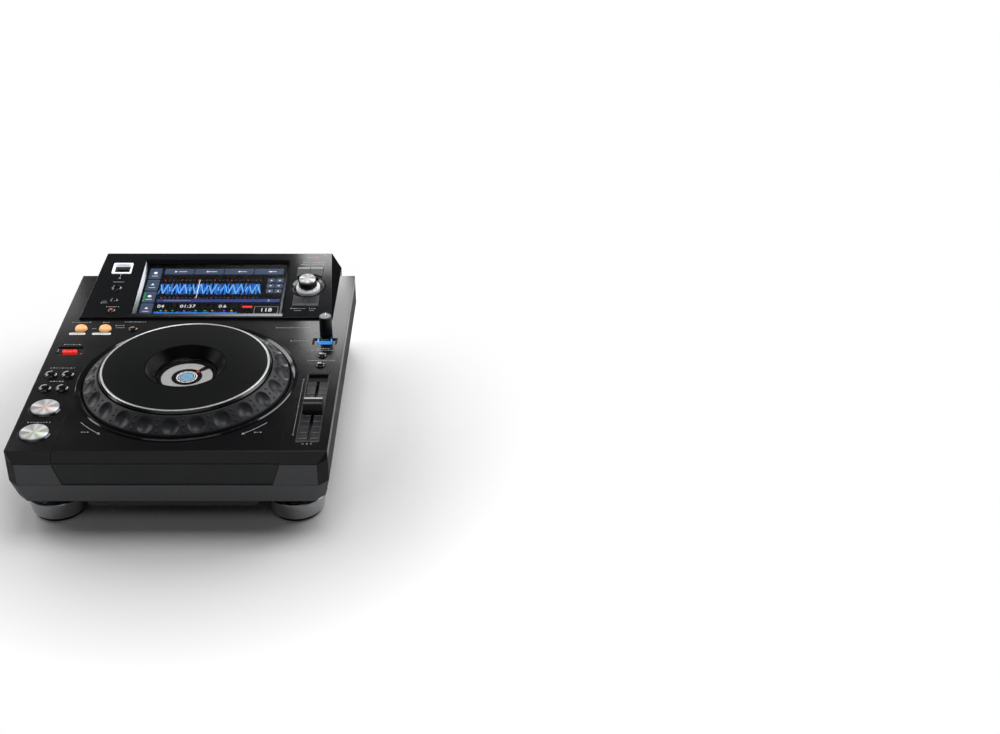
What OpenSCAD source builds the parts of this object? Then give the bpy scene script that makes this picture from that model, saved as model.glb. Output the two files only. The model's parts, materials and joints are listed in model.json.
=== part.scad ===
// Tabletop media player for mixing music, with a large jog wheel and a tilted touch screen.
// Millimetres, +Z up, the front of the player faces -Y, the table is z = 0.

/* [Case] */
// Width over both sides of the case
case_w = 306; // [300:1:330]
// Height of the deck above the table
deck_z = 86; // [84:1:96]
// Depth of the flat deck, from its front edge to its rear edge
deck_d = 348; // [346:1:362]
// How far the front stands ahead of the deck edge, also the corner chamfer
lip = 9; // [6:0.5:11]
// Width of the block behind the deck that carries the sockets
block_w = 273; // [268:1:280]
// Depth of that block behind the deck
block_d = 19; // [17:1:26]
// How far the phono sockets stand out at the back
jack_out = 8; // [6:0.5:10]
// Height of the top cover's sloping edge
lid_h = 9.2; // [8:0.2:11]
// Height of the upright belt under the top cover
belt_h = 24.5; // [22:0.5:27]
// Height of the lower band that leans in under the belt
tuck_h = 22; // [19:0.5:24]
// How far the lower band leans in at the front and sides
tuck_in = 5; // [3:0.5:6]
// How far the lower band leans in at the front corners
tuck_corner = 8; // [6:0.5:9]
// Wall thickness of the moulded case
wall = 2.6; // [2.2:0.1:3.2]
// Thickness of the deck
deck_t = 3; // [2.6:0.1:3.4]
// Dark joint line between the top cover and the lower case
seam = 0.6; // [0.3:0.1:1]
// Height of the lower case's collar inside the top cover
collar_h = 2; // [1:0.2:2.4]
// How far the middle of the front lies behind its ends
step_in = 0.8; // [0.4:0.1:1.2]
// Half width of the middle part of the front
mid_x = 108.5; // [104:0.5:112]
// Length of the deck's middle part that falls to the front
fall_d = 70; // [50:1:80]
// How much narrower the middle part is at the foot of the belt
corner_lean = 8.3; // [4:0.1:12]
// Depth of the corner panels
panel_d = 3; // [2:0.1:3.4]
// Gap round a piece let into another
fit_gap = 0.2; // [0.1:0.05:0.3]
// Clear space round every moving piece
run_gap = 0.35; // [0.3:0.05:0.5]
// Clear space between a shaft and its bore
shaft_gap = 0.05; // [0.02:0.01:0.1]

/* [Base] */
// Thickness of the steel bottom and back plates
sheet_t = 1.5; // [1.2:0.1:2]
// Depth of the tray pressed into the bottom plate
tray_h = 12; // [8:0.5:13]
// Half width of the tray at its bottom
tray_x = 80; // [70:1:82]
// Run of the tray's sloping sides
tray_slope = 8; // [6:0.5:9]
// Length of a vent slot in the tray
vent_l = 26; // [16:1:34]
// Width of a vent slot
vent_w = 4; // [3:0.5:5]
// Vent slots in one row
vent_n = 8; // [4:1:10]
// Side to side distance of a foot from the middle
foot_x = 117; // [112:0.5:119]
// Distance of the front feet behind the deck edge
foot_in = 28; // [28:0.5:36]
// Radius of a foot at its top
foot_r = 30.5; // [26:0.5:31]
// Radius of a foot at its bottom
foot_r2 = 26.5; // [22:0.5:27]
// Height of the foot's top edge above the table
foot_h = 23.3; // [19:0.1:24]
// Thickness of the rubber pad
pad_h = 3.5; // [2:0.1:5]
// Radius of a screw shank
screw_r = 1.45; // [1.2:0.05:1.6]

/* [Jog wheel] */
// Distance of the wheel's middle behind the deck edge
jog_in = 127; // [125:0.5:134]
// Radius of the wheel
jog_r = 103.5; // [101:0.5:104]
// Gap between the wheel and its fixed ring
jog_gap = 0.9; // [0.5:0.1:1.4]
// Width of the fixed ring on the deck
well_w = 6.6; // [5:0.1:7]
// Height of the fixed ring above the deck
well_h = 1.2; // [0.8:0.1:1.6]
// Height of the wheel's top above the deck
jog_h = 17.2; // [16:0.1:19]
// Height of the rim's upper edge above the deck
rim_h = 14; // [13:0.1:14.6]
// Width of the rim, seen from above
rim_w = 16.2; // [15.6:0.1:16.8]
// Finger hollows round the rim
hollow_n = 24; // [12:1:26]
// Radius of a finger hollow
hollow_r = 8.8; // [6:0.1:8.9]
// Depth of a finger hollow
hollow_d = 3; // [1:0.1:3.4]
// Radius of the small nubs between the hollows
nub_r = 1.3; // [0.7:0.1:1.5]
// Width of the dark edge between the rim and the bright ring
trim_gap = 3; // [2.6:0.1:3.4]
// Width of the bright ring
trim_w = 1.9; // [1.6:0.1:2.6]
// Radius of the hollow in the middle of the top
dish_r = 39.8; // [38.4:0.1:41]
// Radius of the round window at the foot of that hollow
window_r = 31.4; // [28:0.1:32]
// Radius of the round display under the window
dial_r = 29.5; // [24:0.1:29.8]
// Height of the round display's face above the deck
dial_h = 2.8; // [1:0.1:4]
// How far the wheel's top can be pressed
jog_press = 0.6; // [0.3:0.1:0.8]
// Radius of the fixed post that the wheel turns on
post_r = 33.5; // [32:0.1:34]
// Wall of the bearing ring on the post
bearing_t = 2.5; // [2:0.1:2.8]
// Slots in the ring that the speed sensor reads
slot_n = 72; // [36:1:90]

/* [Screen] */
// Distance of the screen housing's front behind the deck edge
screen_in = 250; // [246:1:254]
// Height of the screen housing's front edge
sill = 2.2; // [2:0.1:3.2]
// Height of the screen housing's back edge above the deck
rise = 19; // [17:0.5:22]
// How far the housing's sides lean in at the back edge
lean = 10; // [6:0.5:14]
// Thickness of the sloping panel
panel_t = 3; // [2.6:0.1:3.2]
// Half width of the screen frame
frame_x = 82; // [80:0.5:83.5]
// Front of the screen frame along the slope
frame_s1 = 2.4; // [2.4:0.1:4]
// Strip of the panel behind the screen frame
frame_back = 11.4; // [10.2:0.1:13.2]
// Width of the frame's sloping front lip
lip_w = 4; // [2:0.1:4.6]
// Fall of the frame's front lip to the front
lip_fall = 1.4; // [0.6:0.1:1.6]
// Width of the frame at the sides of the picture
view_side = 4.6; // [4:0.1:12]
// Width of the frame in front of the picture
view_front = 7.2; // [6.6:0.1:11]
// Width of the frame behind the picture
view_back = 3.6; // [3:0.1:15]
// Place of the middle of the memory-stick socket along the slope
usb_s = 88.6; // [84:0.2:92]
// Distance of the left controls on the panel from the housing's side
usb_edge = 31.5; // [29.5:0.5:33.5]
// Width of the lit frame round the memory-stick socket
usb_w = 21.5; // [20:0.1:22]
// Length of that frame along the slope
usb_l = 19.5; // [18:0.1:20]

/* [Deck controls] */
// Distance of the left column from the case's side
left_edge = 21.8; // [20:0.2:23]
// Distance of the right column from the case's side
right_edge = 20.6; // [19.6:0.2:22]
// Distance of the play button behind the deck edge
play_in = 29.6; // [26:0.2:32]
// Distance of the cue button behind the deck edge
cue_in = 73.8; // [70:0.2:76]
// Outer radius of the rings round play and cue
ring_r = 16; // [14:0.1:16.6]
// Distance of the two search buttons
search_in = 109.1; // [107:0.2:111]
// Distance of the two track buttons
track_in = 135.1; // [133:0.2:137]
// Half the distance between the buttons of a pair
pair_dx = 8.6; // [8.2:0.1:9]
// Radius of a search or track button
pearl_r = 6.5; // [5.4:0.1:6.7]
// Distance of the direction lever
lever_in = 183.8; // [180:0.2:188]
// Width of the lever's paddle
lever_w = 14.6; // [12:0.1:16]
// Turn of the lever between its two places
lever_turn = 18; // [10:1:18]
// Distance of the loop buttons
loop_in_y = 229; // [225:0.2:231]
// Radius of a loop button
loop_r = 6.5; // [6:0.1:7.6]
// Distance of the loop-in button from the case's side
loop_edge = 23.5; // [22:0.1:25]
// Distance between the two loop buttons
loop_gap = 25.5; // [23.5:0.1:27.5]
// Distance from the loop-out button to the reloop button
reloop_gap = 29.7; // [26:0.1:32]
// Radius of the reloop button
reloop_r = 4.8; // [4:0.1:5.4]
// Distance of the speed knob
speed_in = 219; // [217:0.2:222]
// Radius of the speed knob
speed_r = 6.8; // [6:0.1:7]
// Height of the speed knob
speed_h = 22; // [18:0.5:24]
// Distance of the jog mode button
mode_in = 203.2; // [200:0.2:204]
// Width of the jog mode button
mode_w = 15.2; // [13:0.1:16]
// Length of the jog mode button
mode_l = 9; // [8:0.1:10]
// Distance of the tempo range button
range_in = 174; // [172:0.2:178]
// Distance of the master tempo button
master_in = 154.6; // [152:0.2:157]
// Radius of the small round buttons
small_r = 4.8; // [4:0.1:5.2]
// Front end of the fader's tray behind the deck edge
tray_in1 = 15.6; // [14:0.2:20]
// Back end of the fader's tray behind the deck edge
tray_in2 = 139; // [136:0.2:141]
// Width of the fader's tray
fader_tray_w = 22.4; // [21.6:0.1:23]
// Depth of the fader's tray below the deck
fader_tray_d = 4.5; // [4:0.1:5]
// Place of the fader cap in the photograph, behind the deck edge
fader_in = 77.3; // [64:0.1:90]
// Width of the fader cap
cap_w = 18.7; // [16:0.1:19.2]
// Length of the fader cap
cap_l = 15.4; // [14:0.1:17]
// Travel of a button
press = 0.8; // [0.5:0.1:1]

/* [Panel controls] */
// Place of the stop button along the slope
stop_s = 51.4; // [48:0.2:54]
// Radius of the stop button
stop_r = 5.6; // [4.8:0.1:6]
// Place of the time button along the slope
time_s = 29.5; // [27:0.2:32]
// Place of the quantize button along the slope
quant_s = 11.4; // [11:0.2:14]
// Radius of the time and quantize buttons
dot_r = 4; // [3.4:0.1:4.4]
// Distance of the selector from the housing's side
sel_edge = 31.3; // [30.5:0.1:33]
// Place of the selector along the slope
sel_s = 55.2; // [53:0.2:57]
// Radius of the selector's hollow
sel_r = 19; // [18:0.1:19.4]
// Radius of the white skirt under the selector
skirt_r = 13.2; // [12.4:0.1:13.4]
// Radius of the selector knob's top
knob_r = 9; // [8:0.1:9.6]
// Height of the selector knob's top above the panel
knob_h = 11.6; // [10:0.1:14]
// Ribs round the selector knob
knob_n = 20; // [12:1:24]
// Half width of a pair of keys next to the selector
keys_x = 14; // [13:0.1:14.4]
// Radius of the curve that the four keys follow
keys_r = 21.8; // [21.4:0.1:22.6]
// Distance from the selector to the keys' far edges
keys_s = 34.6; // [32:0.2:35]

/* [Hidden] */
$fn = 64;
half_w = case_w / 2;
half_b = block_w / 2;
left_x = -half_w + left_edge;
right_x = half_w - right_edge;
loop_in_x = -half_w + loop_edge;
loop_out_x = loop_in_x + loop_gap;
reloop_x = loop_out_x + reloop_gap;
reloop_y = loop_in_y - 1;
usb_x = -half_b + usb_edge;
sel_x = half_b - sel_edge;
total_d = lip + deck_d + block_d + jack_out;
y_front = -total_d / 2;
y_deck = y_front + lip;
y_rear = y_deck + deck_d;
y_back = y_rear + block_d;
z_lid = deck_z - lid_h;
z_knee = z_lid - belt_h;
z_skirt = z_knee - tuck_h;
z_pan = z_skirt + sheet_t;
z_tray = z_skirt - tray_h;
ledge_h = 4.2;
ledge_w = 12;
y_jog = y_deck + jog_in;
rim_in = jog_r - rim_w;
trim_out = rim_in - trim_gap;
trim_in = trim_out - trim_w;
hole_r = jog_r + jog_gap + 0.7;
well_r = hole_r + well_w - 0.7;
y_sill = y_deck + screen_in;
y_crest = y_back - 1;
tilt = atan2(rise - sill, y_crest - y_sill);
slant = (y_crest - y_sill) / cos(tilt);
frame_s2 = slant - frame_back;
view_x = frame_x - view_side;
view_s1 = frame_s1 + view_front;
view_s2 = frame_s2 - view_back;
board_z = deck_z - 14;
board_t = 1.6;
switch_h = 4;
seat_gap = 0.05;
stem_z = board_z - deck_z + board_t - 0.1 + switch_h + press + run_gap;
panel_board_h = -15;
bore_r = post_r + bearing_t;
window_seat = dial_h + 3.6;
foot_back = y_back - 34;
rear_in = y_back - wall;
plate_x = 118;
plate_z1 = z_pan + ledge_h + 2;
plate_z2 = z_lid - 4;
pot_w = 13;
slot_w = 3.4;
boss_r = 3.2;
boss_in = 10;
board_in = 6;
main_x = 78;
main_y1 = y_rear - 100;
main_y2 = y_rear - 14;
main_z = 44;
supply_x1 = -half_w + 19;
supply_x2 = supply_x1 + 38;
supply_y1 = main_y1 + 2;
supply_y2 = main_y2 - 10;

// A point of the case's outline seen from above, moved inwards by o
function outline(o) = [
    [-half_w + o, y_deck + 0.4142 * o],
    [-half_w + lip + 0.4142 * o, y_front + o],
    [half_w - lip - 0.4142 * o, y_front + o],
    [half_w - o, y_deck + 0.4142 * o],
    [half_w - o, y_rear - o],
    [half_b - o, y_rear - o],
    [half_b - o, y_back - o],
    [-half_b + o, y_back - o],
    [-half_b + o, y_rear - o],
    [-half_w + o, y_rear - o]
];

// Extrude a profile drawn in y and z along x
module along_x(x1, x2) {
    translate([x1, 0, 0])
        rotate([90, 0, 90])
            linear_extrude(height = x2 - x1) children();
}

// Extrude a profile drawn in x and z along y
module along_y(y1, y2) {
    translate([0, y2, 0])
        rotate([90, 0, 0])
            linear_extrude(height = y2 - y1) children();
}

// Place children on the deck, y counted from the deck's front edge
module on_deck(x, y) {
    translate([x, y_deck + y, deck_z]) children();
}

// Place children on the sloping panel, s counted along the slope
module on_panel(x, s) {
    translate([0, y_sill, deck_z + sill])
        rotate([tilt, 0, 0])
            translate([x, s, 0]) children();
}

module block(x1, x2, y1, y2, z1, z2) {
    translate([x1, y1, z1]) cube([x2 - x1, y2 - y1, z2 - z1]);
}

module rod(r, z1, z2) {
    translate([0, 0, z1]) cylinder(r = r, h = z2 - z1);
}

module mirrored() {
    children();
    mirror([1, 0, 0]) children();
}

// A rectangle with round corners, centred
module round_box(w, l, r, z1, z2) {
    translate([0, 0, z1])
        linear_extrude(height = z2 - z1) {
            square([w - 2 * r, l], center = true);
            square([w, l - 2 * r], center = true);
            for (i = [-1, 1], j = [-1, 1])
                translate([i * (w / 2 - r), j * (l / 2 - r)]) circle(r = r);
        }
}

// The lower case as a full form: upright belt above, leaning band below, moved inwards by o
module tub_form(o, z1, z2) {
    low = z_skirt - 2;
    high = z_lid + 6;
    s = (z_knee - low) / tuck_h;
    difference() {
        intersection() {
            translate([0, 0, z1]) linear_extrude(height = z2 - z1) polygon(outline(o));
            along_x(-half_w, half_w) polygon([
                [y_front + o, high], [y_front + o, z_knee], [y_front + o + s * tuck_in, low],
                [y_back, low], [y_back, high]
            ]);
            along_y(y_front, y_back) polygon([
                [-half_w + o, high], [-half_w + o, z_knee], [-half_w + o + s * tuck_in, low],
                [half_w - o - s * tuck_in, low], [half_w - o, z_knee], [half_w - o, high]
            ]);
        }
        mirrored()
            translate([-half_w, y_deck, 0])
                rotate([0, 0, -45])
                    along_x(-60, 60)
                        polygon([
                            [o - 0.04, z_knee], [o - 0.04 + s * tuck_corner, low],
                            [o - 0.04 + s * tuck_corner, low - 1], [-20, low - 1], [-20, z_knee]
                        ]);
    }
}

// The top cover as a full form, with the sloping front edge
module lid_form(o, top, z1) {
    intersection() {
        translate([0, 0, z1]) linear_extrude(height = top - z1) polygon(outline(o));
        along_x(-half_w, half_w) polygon([
            [y_front + 1.4142 * o + (z1 - z_lid) * lip / lid_h, z1],
            [y_front + 1.4142 * o + (top - z_lid) * lip / lid_h, top],
            [y_back, top], [y_back, z1]
        ]);
    }
}

// The middle of the deck falls to the front and lies back behind the front's ends
module middle_cut() {
    slip = step_in * sqrt(2);
    along_x(-mid_x, mid_x) polygon([
        [y_deck + fall_d, deck_z], [y_deck + slip, deck_z - step_in],
        [y_front + slip - lip / lid_h, z_lid - 1], [y_front - 2, z_lid - 1],
        [y_front - 2, deck_z + 1], [y_deck + fall_d, deck_z + 1]
    ]);
}

// Posts under the deck that carry the two boards
left_bosses = [
    [-half_w + boss_in, (play_in + cue_in) / 2], [-half_w + boss_in, track_in + 24.9],
    [left_x + 14.2, lever_in + 21.2], [reloop_x - 12.7, reloop_y - 14]
];
right_bosses = [
    [half_w - boss_in, tray_in2 + 8], [half_w - boss_in, range_in + 13],
    [right_x - 12.4, master_in + 7.4], [right_x - 12.4, speed_in + 5]
];

// Every hole that the deck has for its controls
module deck_cuts() {
    translate([0, y_jog, 0]) rod(hole_r, deck_z - deck_t - 1, deck_z + 1);
    translate([0, y_jog, 0]) rod(well_r + fit_gap, deck_z - 1.2, deck_z + 2);
    for (y = [play_in, cue_in]) on_deck(left_x, y) rod(ring_r - 1, -9, 1);
    for (y = [search_in, track_in], i = [-1, 1])
        on_deck(left_x + i * pair_dx, y) rod(pearl_r + run_gap, -9, 1);
    for (x = [loop_in_x, loop_out_x]) on_deck(x, loop_in_y) rod(loop_r + run_gap, -9, 1);
    on_deck(reloop_x, reloop_y) rod(reloop_r + run_gap, -9, 1);
    for (y = [range_in, master_in]) on_deck(right_x, y) rod(small_r + run_gap, -9, 1);
    on_deck(right_x, speed_in) rod(3 + run_gap, -9, 1);
    on_deck(right_x, mode_in) round_box(mode_w + 2 * run_gap, mode_l + 2 * run_gap, 2, -9, 1);
    on_deck(right_x, mode_in) round_box(26, 13, 2, -1, 1);
    on_deck(left_x, lever_in) round_box(27.3, 16.2, 2.5, -1, 1);
    on_deck(left_x, lever_in) round_box(lever_w + 1.4, 13, 1.5, -9, 1);
    on_deck(right_x, (tray_in1 + tray_in2) / 2)
        round_box(fader_tray_w + 2 * fit_gap, tray_in2 - tray_in1 + 2 * fit_gap, 1.5, -9, 1);
    block(-half_b + 12.5, half_b - 12.5, y_sill + 4, y_back - 8, deck_z - deck_t - 1, deck_z + 1);
}

module top_cover() {
    color("#202123") {
        difference() {
            lid_form(0, deck_z, z_lid);
            lid_form(wall, deck_z - deck_t, z_lid - 1);
            middle_cut();
            deck_cuts();
        }
        for (p = concat(left_bosses, right_bosses))
            on_deck(p[0], p[1]) rod(boss_r, board_z - deck_z + board_t, -deck_t + 0.5);
    }
}

module corner_face(o) {
    top = z_lid - seam;
    polygon([
        [-half_w + lip + 0.6 - o, top + o * 2], [-mid_x + o, top + o * 2],
        [-mid_x + o, top], [-mid_x + corner_lean + o, z_knee + 0.4 - o],
        [-half_w + lip + 0.6 - o, z_knee + 0.4 - o]
    ]);
}

module lower_case() {
    top = z_lid - seam;
    color("#26272a")
        difference() {
            union() {
                difference() {
                    tub_form(0, z_skirt, top);
                    tub_form(wall + panel_d, z_skirt - 1, top + 1);
                }
                intersection() {
                    tub_form(1, z_skirt, top);
                    difference() {
                        block(-half_w, half_w, y_front, y_back, z_pan, z_pan + ledge_h);
                        block(-half_w + ledge_w + 6, half_w - ledge_w - 6, y_front + ledge_w + 8,
                            y_back - ledge_w, z_pan - 1, z_pan + ledge_h + 1);
                    }
                }
                difference() {
                    intersection() {
                        tub_form(wall + fit_gap, z_lid - 8, z_lid + collar_h);
                        lid_form(wall + fit_gap, z_lid + collar_h, z_lid - 8);
                    }
                    tub_form(wall + 3.4, z_lid - 9, z_lid + 4);
                }
            }
            tub_form(wall, z_skirt - 1, z_pan);
            along_x(-mid_x - 30, mid_x + 30)
                polygon([
                    [y_front - 1, top + 1], [y_front + step_in, top + 1],
                    [y_front + step_in, z_knee + 0.5], [y_front - 1, z_knee + 0.5]
                ]);
            mirrored() along_y(y_front - 1, y_front + panel_d) corner_face(fit_gap);
            block(-plate_x, plate_x, rear_in - 6, y_back + 1, plate_z1, plate_z2);
            block(-plate_x - 5, plate_x + 5, rear_in - 6, rear_in, plate_z1 - 2, z_lid + 4);
            for (x = [-foot_x, foot_x])
                translate([x, y_deck + foot_in, 0]) rod(foot_r - 3, z_skirt - 1, z_pan);
            for (p = pan_screws)
                translate([p[0], p[1], 0]) rod(screw_r + 0.1, z_pan - 1, z_pan + ledge_h + 1);
        }
}

module corner_panels() {
    color("#3a3b3e")
        mirrored()
            intersection() {
                along_y(y_front, y_front + panel_d - fit_gap) corner_face(0);
                block(-half_w, 0, y_front, y_front + 20, z_knee, z_lid - seam);
            }
}

// Screw places in the bottom plate
pan_screws = [
    for (x = [-half_w + tuck_in + 11, half_w - tuck_in - 11], y = [y_deck + 75, -10, y_rear - 62]) [x, y],
    for (x = [-60, 60]) [x, y_back - 9]
];

// Places of the sockets along the back plate
socket_z = (plate_z1 + plate_z2) / 2;
inlet_x = -88;
jack_x = [72, 54, 30];
lan_x = 2;
usb_b_x = -24;
lock_x = -50;
power_x = 100;

// Screw places in the back plate
rear_screws = [
    for (x = [-plate_x + 6, -36, 36, plate_x - 6], z = [plate_z1 + 4, plate_z2 - 4])
        if (abs(x) > 60 || z > socket_z) [x, z]
];

// Section of the tray in the bottom plate, o is the sheet's thickness on the inside
module tray_form(o, z1) {
    y1 = y_deck + 5 + o;
    y2 = y_back - 44 - o;
    intersection() {
        along_y(y1, y2) polygon([
            [-tray_x - tray_slope + o, z_skirt + 3], [-tray_x - tray_slope + o, z_skirt],
            [-tray_x + o, z1], [tray_x - o, z1],
            [tray_x + tray_slope - o, z_skirt], [tray_x + tray_slope - o, z_skirt + 3]
        ]);
        along_x(-tray_x - 20, tray_x + 20) polygon([
            [y1, z_skirt + 3], [y1, z1], [y2 - tray_slope, z1], [y2, z_skirt], [y2, z_skirt + 3]
        ]);
    }
}

module bottom_pan() {
    color("#2c2d2f")
        difference() {
            union() {
                intersection() {
                    tub_form(wall + fit_gap, z_skirt, z_pan);
                    block(-half_w, half_w, y_front, y_back, z_skirt, z_pan);
                }
                intersection() {
                    tray_form(0, z_tray);
                    block(-half_w, half_w, y_front, y_back, z_tray, z_pan);
                }
                for (x = [-main_x + 8, main_x - 8], y = [main_y1 + 8, main_y2 - 8])
                    translate([x, y, 0]) rod(4, z_tray + sheet_t, main_z);
                for (x = [supply_x1 + 6, supply_x2 - 6], y = [supply_y1 + 6, supply_y2 - 6])
                    translate([x, y, 0]) rod(4, z_skirt, main_z);
            }
            difference() {
                tray_form(sheet_t, z_tray + sheet_t);
                for (x = [-main_x + 8, main_x - 8], y = [main_y1 + 8, main_y2 - 8])
                    translate([x, y, 0]) rod(4, z_tray, main_z);
            }
            for (i = [0 : vent_n - 1], x = [-46, 46])
                translate([x, y_jog + 62 + i * 2.2 * vent_w, 0])
                    round_box(vent_l, vent_w, vent_w / 2 - 0.05, z_tray - 1, z_tray + sheet_t + 1);
            for (p = pan_screws) translate([p[0], p[1], 0]) rod(screw_r + 0.1, z_skirt - 1, z_pan + 1);
        }
}

module rear_plate() {
    y1 = rear_in - sheet_t;
    color("#3b3d40")
        difference() {
            block(-plate_x - 4.6, plate_x + 4.6, y1, rear_in, plate_z1 - 1.6, plate_z2 + 3);
            along_y(y1 - 1, y_back) translate([inlet_x, socket_z]) square([27.4, 20.4], center = true);
            for (x = jack_x) along_y(y1 - 1, y_back) translate([x, socket_z]) circle(r = 5.2);
            along_y(y1 - 1, y_back) translate([lan_x, socket_z]) square([15.4, 13.4], center = true);
            along_y(y1 - 1, y_back) translate([usb_b_x, socket_z]) square([12.4, 11.4], center = true);
            along_y(y1 - 1, y_back) translate([power_x, socket_z])
                square([12 + 2 * run_gap, 9 + 2 * run_gap], center = true);
            along_y(y1 - 1, y_back) translate([lock_x, socket_z]) {
                square([4, 3.2], center = true);
                for (i = [-2, 2]) translate([i, 0]) circle(r = 1.6);
            }
            for (p = rear_screws) along_y(y1 - 1, y_back) translate(p) circle(r = screw_r + 0.1);
        }
}

// The screen housing as a full form: sloping panel, sides that lean in, upright back
module wedge_form(o, t) {
    drop = t / cos(tilt);
    intersection() {
        along_x(-half_b, half_b) polygon([
            [y_sill + o, deck_z - (o > 0 ? 4 : 0)],
            [y_sill + o, deck_z + sill - drop + o * tan(tilt)],
            [y_crest - o, deck_z + rise - drop - o * tan(tilt)],
            [y_back - o, deck_z + rise - drop - 1.4],
            [y_back - o, deck_z - (o > 0 ? 4 : 0)]
        ]);
        along_y(y_sill - 1, y_back + 1) polygon([
            [-half_b + o, deck_z - 5], [-half_b + o, deck_z], [-half_b + o + lean, deck_z + rise],
            [half_b - o - lean, deck_z + rise], [half_b - o, deck_z], [half_b - o, deck_z - 5]
        ]);
    }
}

// One key next to the selector, sx and sy choose the quarter, o grows it all round
module key_shape(sx, sy, o) {
    difference() {
        translate([sx > 0 ? 0.3 - o : -keys_x - o, sy > 0 ? 12 : -keys_s - o])
            square([keys_x - 0.3 + 2 * o, keys_s - 12 + o]);
        circle(r = keys_r - o);
    }
}

module panel_cuts() {
    on_panel(0, (frame_s1 + frame_s2) / 2)
        round_box(2 * frame_x + 2 * fit_gap, frame_s2 - frame_s1 + 2 * fit_gap, 1, -panel_t - 2, 3);
    on_panel(usb_x, usb_s) round_box(usb_w + 2 * fit_gap, usb_l + 2 * fit_gap, 1.5, -0.6, 3);
    on_panel(usb_x, usb_s) round_box(usb_w - 2 + 2 * fit_gap, usb_l - 3 + 2 * fit_gap, 1, -panel_t - 2, 3);
    on_panel(usb_x, stop_s) rod(stop_r + run_gap, -panel_t - 2, 3);
    on_panel(usb_x + 1, time_s) rod(dot_r + run_gap, -panel_t - 2, 3);
    on_panel(usb_x + 1.6, quant_s) rod(dot_r + run_gap, -panel_t - 2, 3);
    on_panel(sel_x, sel_s) rod(sel_r + fit_gap, -panel_t - 2, 3);
    for (sx = [-1, 1], sy = [-1, 1])
        on_panel(sel_x, sel_s) translate([0, 0, -panel_t - 2])
            linear_extrude(height = panel_t + 5) key_shape(sx, sy, run_gap);
}

// Posts under the panel that carry its two boards
panel_posts = [
    for (x = [usb_x - 13, usb_x + 14], s = [time_s - 9.5, stop_s + 14.6]) [x, s],
    for (s = [sel_s - 39.7, sel_s + 40.8]) [sel_x + 11.8, s],
    for (s = [sel_s - 43.2, sel_s + 42.8]) [sel_x - 15.7, s]
];

module screen_housing() {
    color("#1d1e20") {
        difference() {
            wedge_form(0, 0);
            wedge_form(wall, panel_t);
            panel_cuts();
        }
        for (p = panel_posts) on_panel(p[0], p[1]) rod(2.2, panel_board_h + board_t, -panel_t + 0.5);
    }
}

module screen_frame() {
    mid_s = (frame_s1 + frame_s2) / 2;
    len_s = frame_s2 - frame_s1;
    color("#3c3e42")
        on_panel(0, 0)
            difference() {
                union() {
                    translate([0, mid_s, 0]) round_box(2 * frame_x, len_s, 1, -2.2, 0.5);
                    block(-frame_x + 0.4, frame_x - 0.4, frame_s1 + 3, frame_s2 - 0.4, -panel_t - 1.5, -2);
                    block(-frame_x - 2, frame_x + 2, frame_s1 + 3, frame_s2 + 2, -panel_t - 1.5,
                        -panel_t - seat_gap);
                }
                along_x(-frame_x - 1, frame_x + 1) polygon([
                    [frame_s1 - 1, 0.5 - lip_fall - lip_fall / (lip_w - 0.4)], [frame_s1 + lip_w - 0.4, 0.5],
                    [frame_s1 + lip_w - 0.4, 2], [frame_s1 - 1, 2]
                ]);
                intersection() {
                    along_x(-frame_x, frame_x) polygon([
                        [frame_s1 + lip_w, 1], [frame_s1 + lip_w, 0.2], [view_s1, -panel_t - 0.7],
                        [view_s1, -panel_t - 2], [view_s2, -panel_t - 2], [view_s2, -panel_t - 0.7],
                        [frame_s2 - 1.4, 0.2], [frame_s2 - 1.4, 1]
                    ]);
                    along_y(0, frame_s2) polygon([
                        [-frame_x + 1.4, 1], [-frame_x + 1.4, 0.2], [-view_x, -panel_t - 0.7],
                        [-view_x, -panel_t - 2], [view_x, -panel_t - 2], [view_x, -panel_t - 0.7],
                        [frame_x - 1.4, 0.2], [frame_x - 1.4, 1]
                    ]);
                }
            }
}

module touch_glass() {
    color("#0b0d10")
        on_panel(0, 0)
            block(-frame_x - 1, frame_x + 1, frame_s1 + 3.2, frame_s2 - 1, -panel_t - 3, -panel_t - 1.5);
}

module lcd_module() {
    color("#16181c")
        on_panel(0, 0) {
            block(-frame_x, frame_x, frame_s1 + 4, frame_s2 - 2, -panel_t - 7, -panel_t - 3);
            block(-40, 40, 30, 80, -panel_t - 9.5, -panel_t - 7);
        }
}

module usb_light_frame() {
    color("#f4f6f8")
        on_panel(usb_x, usb_s)
            difference() {
                union() {
                    round_box(usb_w, usb_l, 1.5, -0.6, 0.6);
                    round_box(usb_w - 2, usb_l - 3, 1, -3.4, -0.6);
                }
                round_box(usb_w - 3.4, usb_l - 4.2, 0.6, -10, 1);
            }
}

module usb_socket() {
    color("#8d9195")
        on_panel(usb_x, usb_s)
            difference() {
                round_box(usb_w - 2.4, usb_l - 3.4, 1, -22, -3.4);
                difference() {
                    block(-6.2, 6.2, -2.5, 2.5, -20, -2.4);
                    block(-5.6, 5.6, 0.1, 1.9, -21, -5);
                }
            }
}

module jog_well_ring() {
    color("#141517")
        translate([0, y_jog, deck_z])
            rotate_extrude($fn = 160)
                polygon([
                    [hole_r - 0.7, -4], [hole_r - 0.1, -4], [hole_r - 0.1, -1.2], [well_r, -1.2],
                    [well_r, 0.3], [well_r - 0.9, well_h], [well_r - 2.4, well_h - 0.1],
                    [hole_r + 0.4, -0.6], [hole_r - 0.7, -2.4]
                ]);
}

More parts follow.
